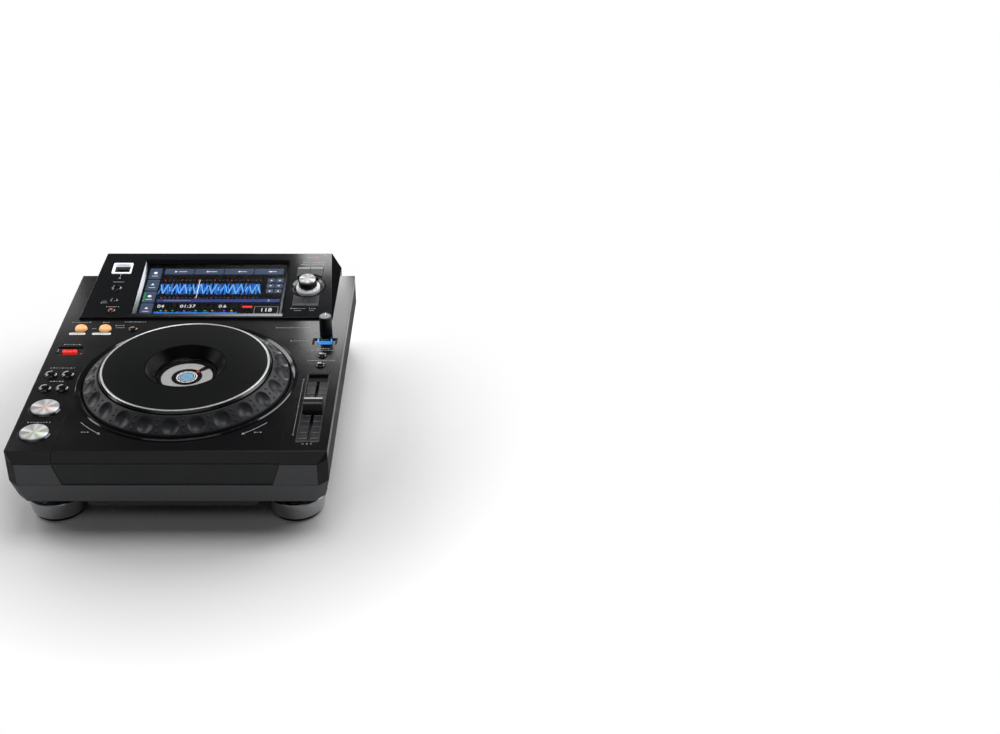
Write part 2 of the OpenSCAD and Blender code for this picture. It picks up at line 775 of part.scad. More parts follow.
module jog_post() {
    top = deck_z + dial_h - 2;
    floor_z = z_tray + sheet_t;
    color("#55585c")
        translate([0, y_jog, 0])
            rotate_extrude($fn = 96)
                polygon([
                    [0, top], [0, top - 2.5], [post_r - 3, top - 2.5], [post_r - 3, floor_z + 3],
                    [post_r - 6, floor_z], [post_r + 12, floor_z], [post_r + 12, floor_z + 3],
                    [post_r + 1, floor_z + 6], [post_r + 1, deck_z - 27], [post_r + 5, deck_z - 25],
                    [post_r + 5, deck_z - 23], [post_r, deck_z - 23], [post_r, top]
                ]);
}

module jog_bearing() {
    color("#b28a48")
        translate([0, y_jog, deck_z])
            difference() {
                rod(bore_r, -23, -11);
                rod(post_r, -24, -10);
            }
}

module jog_display() {
    color("#0f1116")
        translate([0, y_jog, deck_z]) {
            rod(dial_r, dial_h - 2, dial_h);
            rod(9, dial_h, dial_h + 0.3);
        }
}

// The rim's outer face runs straight from its upper edge to the deck
rim_top_r = rim_in + 2.1;
rim_low_r = jog_r - 0.7;
rim_slope = atan2(rim_h - 0.7 - 1.6, rim_low_r - rim_top_r);
rim_mid_r = (rim_top_r + rim_low_r) / 2;
rim_mid_h = (rim_h - 0.7 + 1.6) / 2;
hollow_ball = (hollow_r * hollow_r + hollow_d * hollow_d) / (2 * hollow_d);

module jog_rim() {
    color("#3d3f42")
        translate([0, y_jog, deck_z]) {
            difference() {
                rotate_extrude($fn = 160)
                    polygon([
                        [rim_in, rim_h], [rim_in + 1.3, rim_h], [rim_top_r, rim_h - 0.7],
                        [rim_low_r, 1.6], [jog_r, 0.2], [jog_r, -5], [jog_r - 4, -5], [jog_r - 4, -2.5],
                        [rim_in + 2.7, 4], [rim_in - 7, 4], [rim_in - 7, 6.5], [rim_in, 6.5]
                    ]);
                for (i = [0 : hollow_n - 1])
                    rotate([0, 0, (i + 0.5) * 360 / hollow_n - 7.5])
                        translate([rim_mid_r, 0, rim_mid_h])
                            rotate([0, rim_slope, 0])
                                translate([0, 0, hollow_ball - hollow_d]) sphere(r = hollow_ball);
            }
            for (i = [0 : hollow_n - 1], t = [-0.34, 0, 0.34])
                rotate([0, 0, i * 360 / hollow_n - 7.5])
                    translate([
                        rim_mid_r + t * (rim_low_r - rim_top_r), 0,
                        rim_mid_h - t * (rim_h - 2.3)
                    ])
                        rotate([0, rim_slope, 0])
                            translate([0, 0, -1.4])
                                cylinder(r1 = nub_r + 0.6, r2 = nub_r * 0.6, h = 2.2);
        }
}

module jog_hub() {
    color("#2a2b2d")
        translate([0, y_jog, deck_z])
            difference() {
                rotate_extrude($fn = 160)
                    polygon([
                        [bore_r + shaft_gap, -22.6], [bore_r + shaft_gap, 0], [bore_r + 2.4, 2],
                        [bore_r + 2.4, 7], [bore_r + 3.4, 9.5], [rim_in, 9.5], [rim_in, 6.5],
                        [bore_r + 6, 6.5], [bore_r + 3.4, 4], [bore_r + 3.4, -22.6]
                    ]);
                for (i = [0 : 5])
                    rotate([0, 0, i * 60]) translate([(bore_r + rim_in) / 2, 0, 0]) rod(9, 5, 10);
            }
}

module encoder_ring() {
    color("#141414")
        translate([0, y_jog, deck_z])
            difference() {
                rod(jog_r - 0.2, -6, -5);
                rod(jog_r - 11.5, -7, -4);
                for (i = [0 : slot_n - 1])
                    rotate([0, 0, i * 360 / slot_n])
                        block(jog_r - 10.5, jog_r - 5.5, -1, 1, -7, -4);
            }
}

module jog_plate() {
    skirt = rim_in - 1.3;
    color("#232527")
        translate([0, y_jog, deck_z])
            rotate_extrude($fn = 160)
                polygon([
                    [dish_r + 1.2, jog_h], [trim_in, jog_h], [trim_in, jog_h - 1], [trim_out, jog_h - 1],
                    [trim_out, jog_h - 0.5], [skirt, jog_h - 2.4], [skirt, 11], [skirt - 3, 11],
                    [skirt - 3, jog_h - 3.2], [skirt - 4, jog_h - 2.7], [dish_r + 1.2, jog_h - 2.7]
                ]);
}

module jog_trim_ring() {
    color("#e8e9ea")
        translate([0, y_jog, deck_z])
            rotate_extrude($fn = 160)
                polygon([
                    [trim_in, jog_h - 1], [trim_out, jog_h - 1], [trim_out, jog_h],
                    [trim_out - 0.4, jog_h + 0.3], [trim_in + 0.4, jog_h + 0.3], [trim_in, jog_h + 0.1]
                ]);
}

module jog_dish() {
    color("#0e0f10")
        translate([0, y_jog, deck_z])
            rotate_extrude($fn = 128)
                polygon([
                    [dish_r + 1.2, jog_h], [dish_r, jog_h], [window_r, window_seat + 1.4],
                    [window_r, window_seat], [window_r - 1.4, window_seat],
                    [window_r - 1.4, window_seat - 1.4], [window_r + 1.2, window_seat - 1.4],
                    [dish_r + 1.2, jog_h - 2.7]
                ]);
}

module jog_window() {
    color("#9fb4c4") translate([0, y_jog, deck_z]) rod(window_r, window_seat, window_seat + 1.4);
}

foot_places = [
    for (x = [-foot_x, foot_x], y = [y_deck + foot_in, foot_back]) [x, y]
];

module foot_rings() {
    color("#6a6c6f")
        for (p = foot_places)
            translate([p[0], p[1], 0])
                rotate_extrude($fn = 96)
                    polygon([
                        [0, pad_h], [foot_r2 - 0.8, pad_h], [foot_r2, pad_h + 0.8],
                        [foot_r - 0.2, foot_h - 1.4], [foot_r, foot_h - 0.7], [foot_r - 0.6, foot_h],
                        [foot_r - 3, foot_h], [foot_r - 4.5, foot_h - 3], [foot_r - 14, foot_h - 5],
                        [12, foot_h - 4], [11.4, foot_h - 2], [11.4, z_skirt], [0, z_skirt]
                    ]);
}

module foot_pads() {
    color("#151515")
        for (p = foot_places)
            translate([p[0], p[1], 0])
                rotate_extrude($fn = 96)
                    polygon([
                        [0, 0], [foot_r2 - 3, 0], [foot_r2 - 2, 1], [foot_r2 - 2, pad_h], [0, pad_h]
                    ]);
}

module screw() {
    rod(2.8, -1.6, 0);
    rod(screw_r, 0, 5);
}

module case_screws() {
    color("#9a9c9e") {
        for (p = pan_screws)
            translate([p[0], p[1], z_skirt])
                difference() {
                    screw();
                    for (a = [0, 90]) rotate([0, 0, a]) block(-1.8, 1.8, -0.4, 0.4, -2, -0.7);
                }
        for (p = rear_screws)
            translate([p[0], rear_in, p[1]])
                rotate([90, 0, 0])
                    difference() {
                        screw();
                        for (a = [0, 90]) rotate([0, 0, a]) block(-1.8, 1.8, -0.4, 0.4, -2, -0.7);
                    }
    }
}

// A push switch on a board, centred, its foot at z = 0
module push_switch() {
    block(-3, 3, -3, 3, 0, switch_h - 0.8);
    rod(1.7, switch_h - 0.8, switch_h);
}

module circuit_boards() {
    color("#1f5a36") {
        // Main board and power supply
        difference() {
            union() {
                block(-main_x, main_x, main_y1, main_y2, main_z, main_z + board_t);
                block(-34, 14, main_y1 + 20, main_y1 + 50, main_z + 1, main_z + 4);
                block(28, 52, main_y1 + 26, main_y1 + 50, main_z + 1, main_z + 3.5);
            }
            block(-12, 12, main_y1 + 55, main_y1 + 70, main_z - 1, main_z + 2);
        }
        block(supply_x1, supply_x2, supply_y1, supply_y2, main_z, main_z + board_t);
        translate([(supply_x1 + supply_x2) / 2, supply_y1 + 28, main_z + 1]) rod(11, 0, 18);
        block(supply_x1 + 4, supply_x2 - 8, supply_y2 - 30, supply_y2 - 6, main_z, main_z + 16);
        left_board();
        right_board();
        usb_board();
        selector_board();
        jog_sensor();
    }
}

module left_board() {
    translate([0, y_deck, board_z]) {
        difference() {
            union() {
                block(-half_w + board_in, left_x + 17.2, play_in - ring_r, reloop_y + 12, 0, board_t);
                block(-half_w + board_in, reloop_x + 8.3, reloop_y - 17, reloop_y + 12, 0, board_t);
            }
            translate([left_x, lever_in, 0]) block(-5, 5, -4, 4, -1, board_t + 1);
        }
        for (y = [play_in, cue_in]) translate([left_x, y, board_t - 0.1]) push_switch();
        for (y = [search_in, track_in], i = [-1, 1])
            translate([left_x + i * pair_dx, y, board_t - 0.1]) push_switch();
        for (x = [loop_in_x, loop_out_x]) translate([x, loop_in_y, board_t - 0.1]) push_switch();
        translate([reloop_x, reloop_y, board_t - 0.1]) push_switch();
        translate([left_x, lever_in, 0])
            for (i = [-1, 1])
                difference() {
                    block(i * 9.5 - 1.5, i * 9.5 + 1.5, -3.5, 3.5, 0, 7.2);
                    translate([i * 9.5 - 2, 0, 4])
                        rotate([0, 90, 0]) cylinder(r = 1.6 + shaft_gap, h = 4);
                }
    }
}

module right_board() {
    translate([0, y_deck, board_z]) {
        block(right_x - 18.4, half_w - board_in, tray_in2 + 4.5, speed_in + 19, 0, board_t);
        for (y = [range_in, master_in, mode_in]) translate([right_x, y, board_t - 0.1]) push_switch();
        translate([right_x, speed_in, 0])
            difference() {
                block(-6, 6, -6, 6, 0, 9);
                rod(3 + shaft_gap, 2.4, 10);
            }
    }
}

module usb_board() {
    on_panel(0, 0) {
        block(usb_x - 17, usb_x + 18, quant_s - 5.4, stop_s + 20.6, panel_board_h, panel_board_h + board_t);
        for (p = [[usb_x, stop_s], [usb_x + 1, time_s], [usb_x + 1.6, quant_s]])
            translate([p[0], p[1], panel_board_h + board_t - 0.1]) push_switch();
    }
}

module selector_board() {
    on_panel(0, 0) {
        block(sel_x - 18.7, sel_x + 16.8, sel_s - 45.2, sel_s + 45.8, panel_board_h,
            panel_board_h + board_t);
        for (sx = [-1, 1], sy = [-1, 1])
            translate([sel_x + sx * 7, sel_s + sy * 28, panel_board_h + board_t - 0.1]) push_switch();
        translate([sel_x, sel_s, panel_board_h])
            difference() {
                block(-6, 6, -6, 6, 0, 6);
                rod(2.9 + shaft_gap, board_t, 7);
            }
    }
}

// Fork that reads the slotted ring, on a pillar from the bottom tray
module jog_sensor() {
    translate([0, y_jog - jog_r + 8, 0]) {
        difference() {
            block(-5, 5, -3.5, 11.5, deck_z - 11, deck_z - 2.6);
            block(-6, 6, -5, 6.5, deck_z - 7.2, deck_z - 3.8);
        }
        block(-5, 5, 6.5, 11.5, z_tray + sheet_t, deck_z - 10);
    }
}

pot_in1 = tray_in1 + 2;
pot_in2 = tray_in2 - 2;

module slider_tray() {
    mid = (tray_in1 + tray_in2) / 2;
    len_y = tray_in2 - tray_in1;
    color("#2b2c2e")
        on_deck(right_x, mid)
            difference() {
                union() {
                    round_box(fader_tray_w, len_y, 1.3, -fader_tray_d - 1.5, -0.2);
                    round_box(fader_tray_w + 4, len_y + 4, 2, -deck_t - 1.2, -deck_t);
                }
                difference() {
                    round_box(fader_tray_w - 2, len_y - 2, 0.8, -fader_tray_d, 1);
                    for (i = [-5 : 5])
                        block(-fader_tray_w, fader_tray_w, i * 10 - 0.4, i * 10 + 0.4, -9,
                            -fader_tray_d + 0.3);
                }
                round_box(slot_w, len_y - 16, slot_w / 2 - 0.05, -9, 1);
            }
}

module slider_pot() {
    top = -fader_tray_d - 1.5;
    color("#7d8083")
        on_deck(right_x, 0)
            difference() {
                block(-pot_w / 2, pot_w / 2, pot_in1, pot_in2, top - 10, top);
                block(-pot_w / 2 + 1, pot_w / 2 - 1, pot_in1 + 1, pot_in2 - 1, top - 9, top - 1);
                block(-slot_w / 2, slot_w / 2, pot_in1 + 6, pot_in2 - 6, top - 2, top + 1);
            }
}

module tempo_fader() {
    low = -fader_tray_d + 0.8;
    half = cap_l / 2;
    color("#1b1c1e")
        on_deck(right_x, fader_in) {
            difference() {
                along_x(-cap_w / 2, cap_w / 2)
                    polygon([
                        [-half, low], [-half, 0.2], [-half + 2.2, 6.3], [-half + 3.4, 7],
                        [-half + 4.6, 6.6], [-1.2, 4.6], [1.2, 4.6], [half - 4.6, 6.6],
                        [half - 3.4, 7], [half - 2.2, 6.3], [half, 0.2], [half, low]
                    ]);
                block(-cap_w, cap_w, -0.5, 0.5, 4.1, 6);
            }
            block(-1.2, 1.2, -2.5, 2.5, -fader_tray_d - 10, low);
            block(-4, 4, -4, 4, -fader_tray_d - 9.4, -fader_tray_d - 5);
        }
}

module button_rings() {
    color("#b9bbbd")
        for (y = [play_in, cue_in])
            on_deck(left_x, y)
                rotate_extrude($fn = 96)
                    polygon([
                        [ring_r - 1.8, -deck_t], [ring_r - 1, -deck_t], [ring_r - 1, 0], [ring_r, 0],
                        [ring_r, 0.5], [ring_r - 0.7, 1.3], [ring_r - 1.3, 1.3], [ring_r - 1.8, 0.6]
                    ]);
}

module selector_well() {
    color("#101113")
        on_panel(sel_x, sel_s)
            rotate_extrude($fn = 96)
                polygon([
                    [3.3, -4], [skirt_r + 0.6, -4], [sel_r - 1.2, 0.2], [sel_r, 0.2],
                    [sel_r, -panel_t - seat_gap], [sel_r + 1.6, -panel_t - seat_gap],
                    [sel_r + 1.6, -panel_t - 1.5], [sel_r - 1.4, -panel_t - 1.5],
                    [skirt_r, -5.5], [3.3, -5.5]
                ]);
}

module selector_skirt() {
    color("#eef0f2")
        on_panel(sel_x, sel_s)
            rotate_extrude($fn = 96)
                polygon([
                    [4.4, -4], [skirt_r, -4], [skirt_r, -0.6], [skirt_r - 0.8, 0.6],
                    [knob_r + 1, 1.6], [4.4, 1.6]
                ]);
}

module selector_shaft() {
    color("#a8aaac")
        on_panel(sel_x, sel_s) {
            rod(2.9, panel_board_h + board_t + press + 0.4, knob_h - 2.6);
            rod(4, -7.2, -5.5 - run_gap);
        }
}

module selector_knob() {
    color("#bfc1c3")
        on_panel(sel_x, sel_s)
            difference() {
                union() {
                    rotate_extrude($fn = 96)
                        polygon([
                            [0, 2 + press], [knob_r - 0.4, 2 + press], [knob_r - 0.6, knob_h - 2.6],
                            [knob_r, knob_h - 2.4], [knob_r, knob_h - 0.8], [knob_r - 0.7, knob_h],
                            [0, knob_h - 0.3]
                        ]);
                    for (i = [0 : knob_n - 1])
                        rotate([0, 0, i * 360 / knob_n])
                            along_y(-0.7, 0.7)
                                polygon([
                                    [knob_r - 1.6, 2 + press], [knob_r + 1.4, 2 + press],
                                    [knob_r - 0.2, knob_h - 2.6], [knob_r - 1.6, knob_h - 2.6]
                                ]);
                }
                rod(2.9 + shaft_gap, 0, knob_h - 2.2);
            }
}

// A round button in the deck or panel: dome above, rim under the sheet, stem to its switch
module dome_button(r, dome, sheet, stem) {
    rotate_extrude($fn = 72)
        polygon([
            [0, stem], [2.2, stem], [2.2, -sheet - 2.4], [r + 1.2, -sheet - 2.4],
            [r + 1.2, -sheet - run_gap], [r, -sheet - run_gap], [r, 0.2], [r * 0.94, dome * 0.5],
            [r * 0.8, dome * 0.82], [r * 0.5, dome * 0.97], [0, dome]
        ]);
}

// Play and cue: a spun metal face, hollowed like a shallow cone
module big_button() {
    r = ring_r - 1.8 - run_gap;
    rotate_extrude($fn = 96)
        polygon([
            [0, stem_z], [3, stem_z], [3, -deck_t - 2.6], [r + 1.4, -deck_t - 2.6],
            [r + 1.4, -deck_t - run_gap], [r, -deck_t - run_gap], [r, 1.6], [r - 0.8, 2.4],
            [r * 0.45, 2.0], [0, 1.9]
        ]);
}

panel_stem = panel_board_h + board_t - 0.1 + switch_h + press + run_gap;

module cue_button() {
    color("#c9cacb") on_deck(left_x, cue_in) big_button();
}

module play_button() {
    color("#c9cacb") on_deck(left_x, play_in) big_button();
}

module loop_in_button() {
    color("#f5b070") on_deck(loop_in_x, loop_in_y) dome_button(loop_r, 3.4, deck_t, stem_z);
}

module loop_out_button() {
    color("#f5b070") on_deck(loop_out_x, loop_in_y) dome_button(loop_r, 3.4, deck_t, stem_z);
}

module reloop_button() {
    color("#151618") on_deck(reloop_x, reloop_y) dome_button(reloop_r, 2, deck_t, stem_z);
}

module track_back_button() {
    color("#131415") on_deck(left_x - pair_dx, track_in) dome_button(pearl_r, 3, deck_t, stem_z);
}

module track_next_button() {
    color("#131415") on_deck(left_x + pair_dx, track_in) dome_button(pearl_r, 3, deck_t, stem_z);
}

module search_back_button() {
    color("#131415") on_deck(left_x - pair_dx, search_in) dome_button(pearl_r, 3, deck_t, stem_z);
}

module search_next_button() {
    color("#131415") on_deck(left_x + pair_dx, search_in) dome_button(pearl_r, 3, deck_t, stem_z);
}

// The lever rests with its paddle towards the front and turns about a pin under the deck
module direction_lever() {
    color("#ff3b30")
        on_deck(left_x, lever_in)
            translate([0, 0, -10])
                rotate([lever_turn / 2, 0, 0]) {
                    along_x(-lever_w / 2, lever_w / 2)
                        polygon([
                            [-2.2, 0], [-2.2, 7], [-2.5, 8.4], [-2.5, 10.6], [-2, 11.2], [2, 11.2],
                            [2.5, 10.6], [2.5, 8.4], [2.2, 7], [2.2, 0]
                        ]);
                    translate([-lever_w / 2, 0, 0]) rotate([0, 90, 0]) cylinder(r = 2.4, h = lever_w);
                    translate([-11, 0, 0]) rotate([0, 90, 0]) cylinder(r = 1.6, h = 22);
                }
}

module speed_knob() {
    color("#17181a")
        on_deck(right_x, speed_in) {
            difference() {
                rotate_extrude($fn = 72)
                    polygon([
                        [0, 0.5], [speed_r, 0.5], [speed_r - 0.4, speed_h - 1], [speed_r - 1.2, speed_h],
                        [0, speed_h]
                    ]);
                for (i = [0 : 17])
                    rotate([0, 0, i * 20])
                        translate([speed_r + 0.25, 0, 0]) rod(0.75, 3, speed_h - 2);
                block(-0.6, 0.6, 1, speed_r + 1, speed_h - 0.4, speed_h + 1);
            }
            rod(3, -11, 0.6);
        }
}

module jog_mode_button() {
    color("#3b8ee8")
        on_deck(right_x, mode_in) {
            difference() {
                round_box(mode_w, mode_l, 1.5, -deck_t - 1, 1.3);
                for (i = [-1, 1])
                    translate([0, i * (mode_l / 2 + 2), 2.5])
                        rotate([0, 90, 0]) cylinder(r = 3.6, h = 2 * mode_w, center = true);
            }
            round_box(mode_w + 2, mode_l + 2, 2, -deck_t - 2.4, -deck_t - run_gap);
            rod(2.2, stem_z, -deck_t - 2);
        }
}

module tempo_range_button() {
    color("#151618") on_deck(right_x, range_in) dome_button(small_r, 2.2, deck_t, stem_z);
}

module master_tempo_button() {
    color("#151618") on_deck(right_x, master_in) dome_button(small_r, 2.2, deck_t, stem_z);
}

module usb_stop_button() {
    color("#151618") on_panel(usb_x, stop_s) dome_button(stop_r, 2.4, panel_t, panel_stem);
}

module time_mode_button() {
    color("#151618") on_panel(usb_x + 1, time_s) dome_button(dot_r, 1.8, panel_t, panel_stem);
}

module quantize_button() {
    color("#151618") on_panel(usb_x + 1.6, quant_s) dome_button(dot_r, 1.8, panel_t, panel_stem);
}

// A key next to the selector: flat top with a sloping far edge, a lip under the panel, a stem
module corner_key(sx, sy) {
    color("#4a4c50")
        on_panel(sel_x, sel_s) {
            difference() {
                translate([0, 0, -panel_t - 1.6]) linear_extrude(height = panel_t + 2.8) key_shape(sx, sy, 0);
                along_x(-30, 30)
                    polygon([
                        [sy * (keys_s - 2.4), 2], [sy * (keys_s - 2.4), 1.2], [sy * (keys_s + 0.1), 0.2],
                        [sy * (keys_s + 3), 0.2], [sy * (keys_s + 3), 2]
                    ]);
            }
            translate([0, 0, -panel_t - 1.6])
                linear_extrude(height = 1.6 - run_gap)
                    difference() {
                        translate([sx > 0 ? 0.3 : -keys_x - 1.5, sy > 0 ? 12 : -keys_s - 1.5])
                            square([keys_x + 1.2, keys_s - 10.5]);
                        circle(r = keys_r);
                    }
            translate([sx * 7, sy * 28, 0]) rod(2, panel_stem, -panel_t - 1);
        }
}

module back_key() {
    corner_key(-1, 1);
}

module tag_key() {
    corner_key(1, 1);
}

module info_key() {
    corner_key(-1, -1);
}

module menu_key() {
    corner_key(1, -1);
}

module power_inlet() {
    y1 = rear_in;
    color("#131416")
        translate([inlet_x, 0, socket_z])
            difference() {
                union() {
                    along_y(y1 - 20, y1) square([27, 20], center = true);
                    along_y(y1, y1 + 2) square([31, 24], center = true);
                }
                difference() {
                    along_y(y1 - 17, y1 + 3) polygon([
                        [-12, -8.2], [12, -8.2], [12, 4.5], [8, 8.2], [-8, 8.2], [-12, 4.5]
                    ]);
                    for (p = [[-7, -1.8], [7, -1.8], [0, 3.8]])
                        translate([p[0], 0, p[1]]) block(-1, 1, y1 - 18, y1 - 2, -2, 2);
                }
            }
}

module phono_jacks() {
    color("#c8ccd0")
        for (x = jack_x)
            translate([x, rear_in, socket_z])
                rotate([-90, 0, 0])
                    difference() {
                        union() {
                            rod(5, -10, 0.01);
                            rod(6.5, 0, 1);
                            rod(4.15, 1, jack_out + wall);
                        }
                        rod(1.65, jack_out + wall - 9, jack_out + wall + 1);
                    }
}

module lan_socket() {
    y1 = rear_in;
    color("#9fa3a8")
        translate([lan_x, 0, socket_z])
            difference() {
                along_y(y1 - 20, y1 + 0.8) square([15, 13], center = true);
                along_y(y1 - 15, y1 + 2) polygon([
                    [-6, -4.4], [6, -4.4], [6, 3], [3.2, 3], [3.2, 5], [-3.2, 5], [-3.2, 3], [-6, 3]
                ]);
            }
}

module usb_b_socket() {
    y1 = rear_in;
    color("#a6a9ac")
        translate([usb_b_x, 0, socket_z])
            difference() {
                along_y(y1 - 16, y1 + 0.8) square([12, 11], center = true);
                difference() {
                    along_y(y1 - 11, y1 + 2) polygon([
                        [-4.2, -3.9], [4.2, -3.9], [4.2, 2.2], [2.6, 3.9], [-2.6, 3.9], [-4.2, 2.2]
                    ]);
                    along_y(y1 - 12, y1 - 1.5) square([5.6, 3.2], center = true);
                }
            }
}

module power_button() {
    y1 = rear_in;
    color("#101113")
        translate([power_x, 0, socket_z]) {
            along_y(y1 - sheet_t - 2, y1 + 2) square([12, 9], center = true);
            along_y(y1 - sheet_t - 3.4, y1 - sheet_t - run_gap) square([14, 11], center = true);
        }
}

top_cover();
lower_case();
corner_panels();
bottom_pan();
rear_plate();
screen_housing();
screen_frame();
touch_glass();
lcd_module();
usb_light_frame();
usb_socket();
jog_well_ring();
jog_post();
jog_bearing();
jog_display();
foot_rings();
foot_pads();
case_screws();
circuit_boards();
slider_pot();
slider_tray();
power_inlet();
phono_jacks();
lan_socket();
usb_b_socket();
button_rings();
selector_well();
selector_skirt();
jog_rim();
jog_hub();
encoder_ring();
jog_plate();
jog_trim_ring();
jog_dish();
jog_window();
cue_button();
play_button();
loop_in_button();
loop_out_button();
reloop_button();
track_back_button();
track_next_button();
search_back_button();
search_next_button();
direction_lever();
speed_knob();
jog_mode_button();
tempo_range_button();
master_tempo_button();
tempo_fader();
usb_stop_button();
time_mode_button();
quantize_button();
back_key();
tag_key();
info_key();
menu_key();
selector_shaft();
selector_knob();
power_button();
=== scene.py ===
import json
import math

import bpy
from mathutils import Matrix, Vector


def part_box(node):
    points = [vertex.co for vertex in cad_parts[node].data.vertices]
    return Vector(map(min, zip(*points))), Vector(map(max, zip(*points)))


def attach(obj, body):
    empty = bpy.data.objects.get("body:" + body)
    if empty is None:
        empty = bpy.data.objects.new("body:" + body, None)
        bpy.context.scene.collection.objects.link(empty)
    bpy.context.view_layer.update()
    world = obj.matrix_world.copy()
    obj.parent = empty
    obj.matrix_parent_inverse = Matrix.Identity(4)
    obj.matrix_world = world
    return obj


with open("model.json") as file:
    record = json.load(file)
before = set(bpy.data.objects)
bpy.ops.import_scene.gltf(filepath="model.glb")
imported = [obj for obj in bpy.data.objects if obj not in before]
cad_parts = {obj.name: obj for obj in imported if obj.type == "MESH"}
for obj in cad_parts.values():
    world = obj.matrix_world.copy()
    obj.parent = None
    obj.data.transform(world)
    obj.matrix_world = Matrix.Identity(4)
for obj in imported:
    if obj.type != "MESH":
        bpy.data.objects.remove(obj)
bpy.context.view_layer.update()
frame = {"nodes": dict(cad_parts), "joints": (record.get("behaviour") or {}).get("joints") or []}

nodes = frame["nodes"]
mm = 0.001
print("frame loaded:", len(nodes), "nodes")

# Places that several pieces share, taken from the frame where it has them

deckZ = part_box("top_cover")[1].z
deckEdgeY = -183 * mm  # front edge of the flat deck
panel = {"frontY": 67 * mm, "backY": 183 * mm, "frontRise": 2.2 * mm, "backRise": 19 * mm}
panelTilt = math.atan2(panel["backRise"] - panel["frontRise"], panel["backY"] - panel["frontY"])


def middle(node):
    low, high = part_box(node)
    return (low + high) / 2


def jointSpot(name):
    return next(joint["pos_m"] for joint in frame["joints"] if joint["name"] == name)


def fromEdge(x, y):  # a place on the deck, in millimetres from the middle of its front edge
    return x / mm, (y - deckEdgeY) / mm


def panelSpot(x, s, lift):  # a point of the tilted panel, s up the slope and lift out of it
    c, t = math.cos(panelTilt), math.sin(panelTilt)
    return (x, panel["frontY"] + s * c - lift * t, deckZ + panel["frontRise"] + s * t + lift * c)


controls = {"play": "play_button", "cue": "cue_button", "search": "search_back_button", "speed": "speed_knob",
            "track": "track_back_button", "loopIn": "loop_in_button", "loopOut": "loop_out_button",
            "reloop": "reloop_button", "mode": "jog_mode_button", "range": "tempo_range_button",
            "master": "master_tempo_button", "fader": "tempo_fader", "tray": "slider_tray", "jog": "jog_rim"}
spots = {name: fromEdge(middle(node).x, middle(node).y) for name, node in controls.items()}
leverPin = jointSpot("direction_flip")
spots["lever"] = fromEdge(leverPin[0], leverPin[1])


def tone(hexText):  # a screen colour as the linear colour that the shader wants
    parts = [int(hexText[i:i + 2], 16) / 255 for i in (1, 3, 5)]
    return [p / 12.92 if p <= 0.04045 else ((p + 0.055) / 1.055) ** 2.4 for p in parts] + [1]


# Camera

lens = {"place": (0.3166, -1.4572, 0.9615), "pitch": 58.45, "focal": 58.77, "sensor": 36, "clip": (0.01, 50)}


def addCamera():
    bpy.ops.object.select_all(action="DESELECT")
    bpy.ops.object.camera_add(location=lens["place"], rotation=(math.radians(lens["pitch"]), 0, 0))
    camera = bpy.context.object
    camera.data.lens = lens["focal"]
    camera.data.sensor_width = lens["sensor"]
    camera.data.clip_start, camera.data.clip_end = lens["clip"]
    bpy.context.scene.camera = camera
    print("camera set")


# Material helpers


def freshMaterial(name):
    material = bpy.data.materials.new(name)
    material.use_nodes = True
    tree = material.node_tree
    return material, tree, tree.nodes["Principled BSDF"]


def addNode(tree, kind, values=None, **settings):
    node = tree.nodes.new(kind)
    for key, value in settings.items():
        setattr(node, key, value)
    for key, value in (values or {}).items():
        node.inputs[key].default_value = value
    return node


def surfaceSpot(tree, kind="Object"):
    return addNode(tree, "ShaderNodeTexCoord").outputs[kind]


def noise(tree, scale, detail=3.0, spot=None):
    cloud = addNode(tree, "ShaderNodeTexNoise", {"Scale": scale, "Detail": detail})
    tree.links.new(spot or surfaceSpot(tree), cloud.inputs["Vector"])
    return cloud.outputs["Fac"]


def spread(tree, source, low, high, fromLow=0.3, fromHigh=0.7):
    stretch = addNode(tree, "ShaderNodeMapRange", {
        "From Min": fromLow, "From Max": fromHigh, "To Min": low, "To Max": high})
    tree.links.new(source, stretch.inputs["Value"])
    return stretch.outputs["Result"]


def axisOf(tree, vector, axis):
    split = addNode(tree, "ShaderNodeSeparateXYZ")
    tree.links.new(vector, split.inputs["Vector"])
    return split.outputs[axis]


def rampTone(tree, source, stops):
    ramp = addNode(tree, "ShaderNodeValToRGB")
    marks = ramp.color_ramp.elements
    while len(marks) > 1:
        marks.remove(marks[-1])
    marks[0].position, marks[0].color = stops[0]
    for place, colour in stops[1:]:
        marks.new(place).color = colour
    tree.links.new(source, ramp.inputs["Fac"])
    return ramp.outputs["Color"]


def grainTone(tree, grain, dark, light, stops=(0.3, 0.7)):
    return rampTone(tree, grain, [(stops[0], tone(dark)), (stops[1], tone(light))])


def mixTones(tree, share, below, above):  # a tone is a linked colour, or a constant one as text
    mix = addNode(tree, "ShaderNodeMix", data_type="RGBA")
    tree.links.new(share, mix.inputs["Factor"])
    for socket, colour in (("A", below), ("B", above)):
        if isinstance(colour, str):
            mix.inputs[socket].default_value = tone(colour)
        else:
            tree.links.new(colour, mix.inputs[socket])
    return mix.outputs["Result"]


def addBump(tree, shader, height, strength, depth):
    bump = addNode(tree, "ShaderNodeBump", {"Strength": strength, "Distance": depth})
    tree.links.new(height, bump.inputs["Height"])
    tree.links.new(bump.outputs["Normal"], shader.inputs["Normal"])
    return bump


# Moulded plastic: fine grain, cloudy gloss, edges a little rounded and painted lighter, partly as wear and
# partly as a painted edge highlight

moulding = {"grainDetail": 2.0, "grainStops": (0.32, 0.68), "depth": 0.2 * mm, "cloud": 22,
            "capBlend": 0.1 * mm, "edgeSamples": 4, "wearAndHighlightRange": (0.75, 0.995), "sideRange": (0.3, 0.6)}


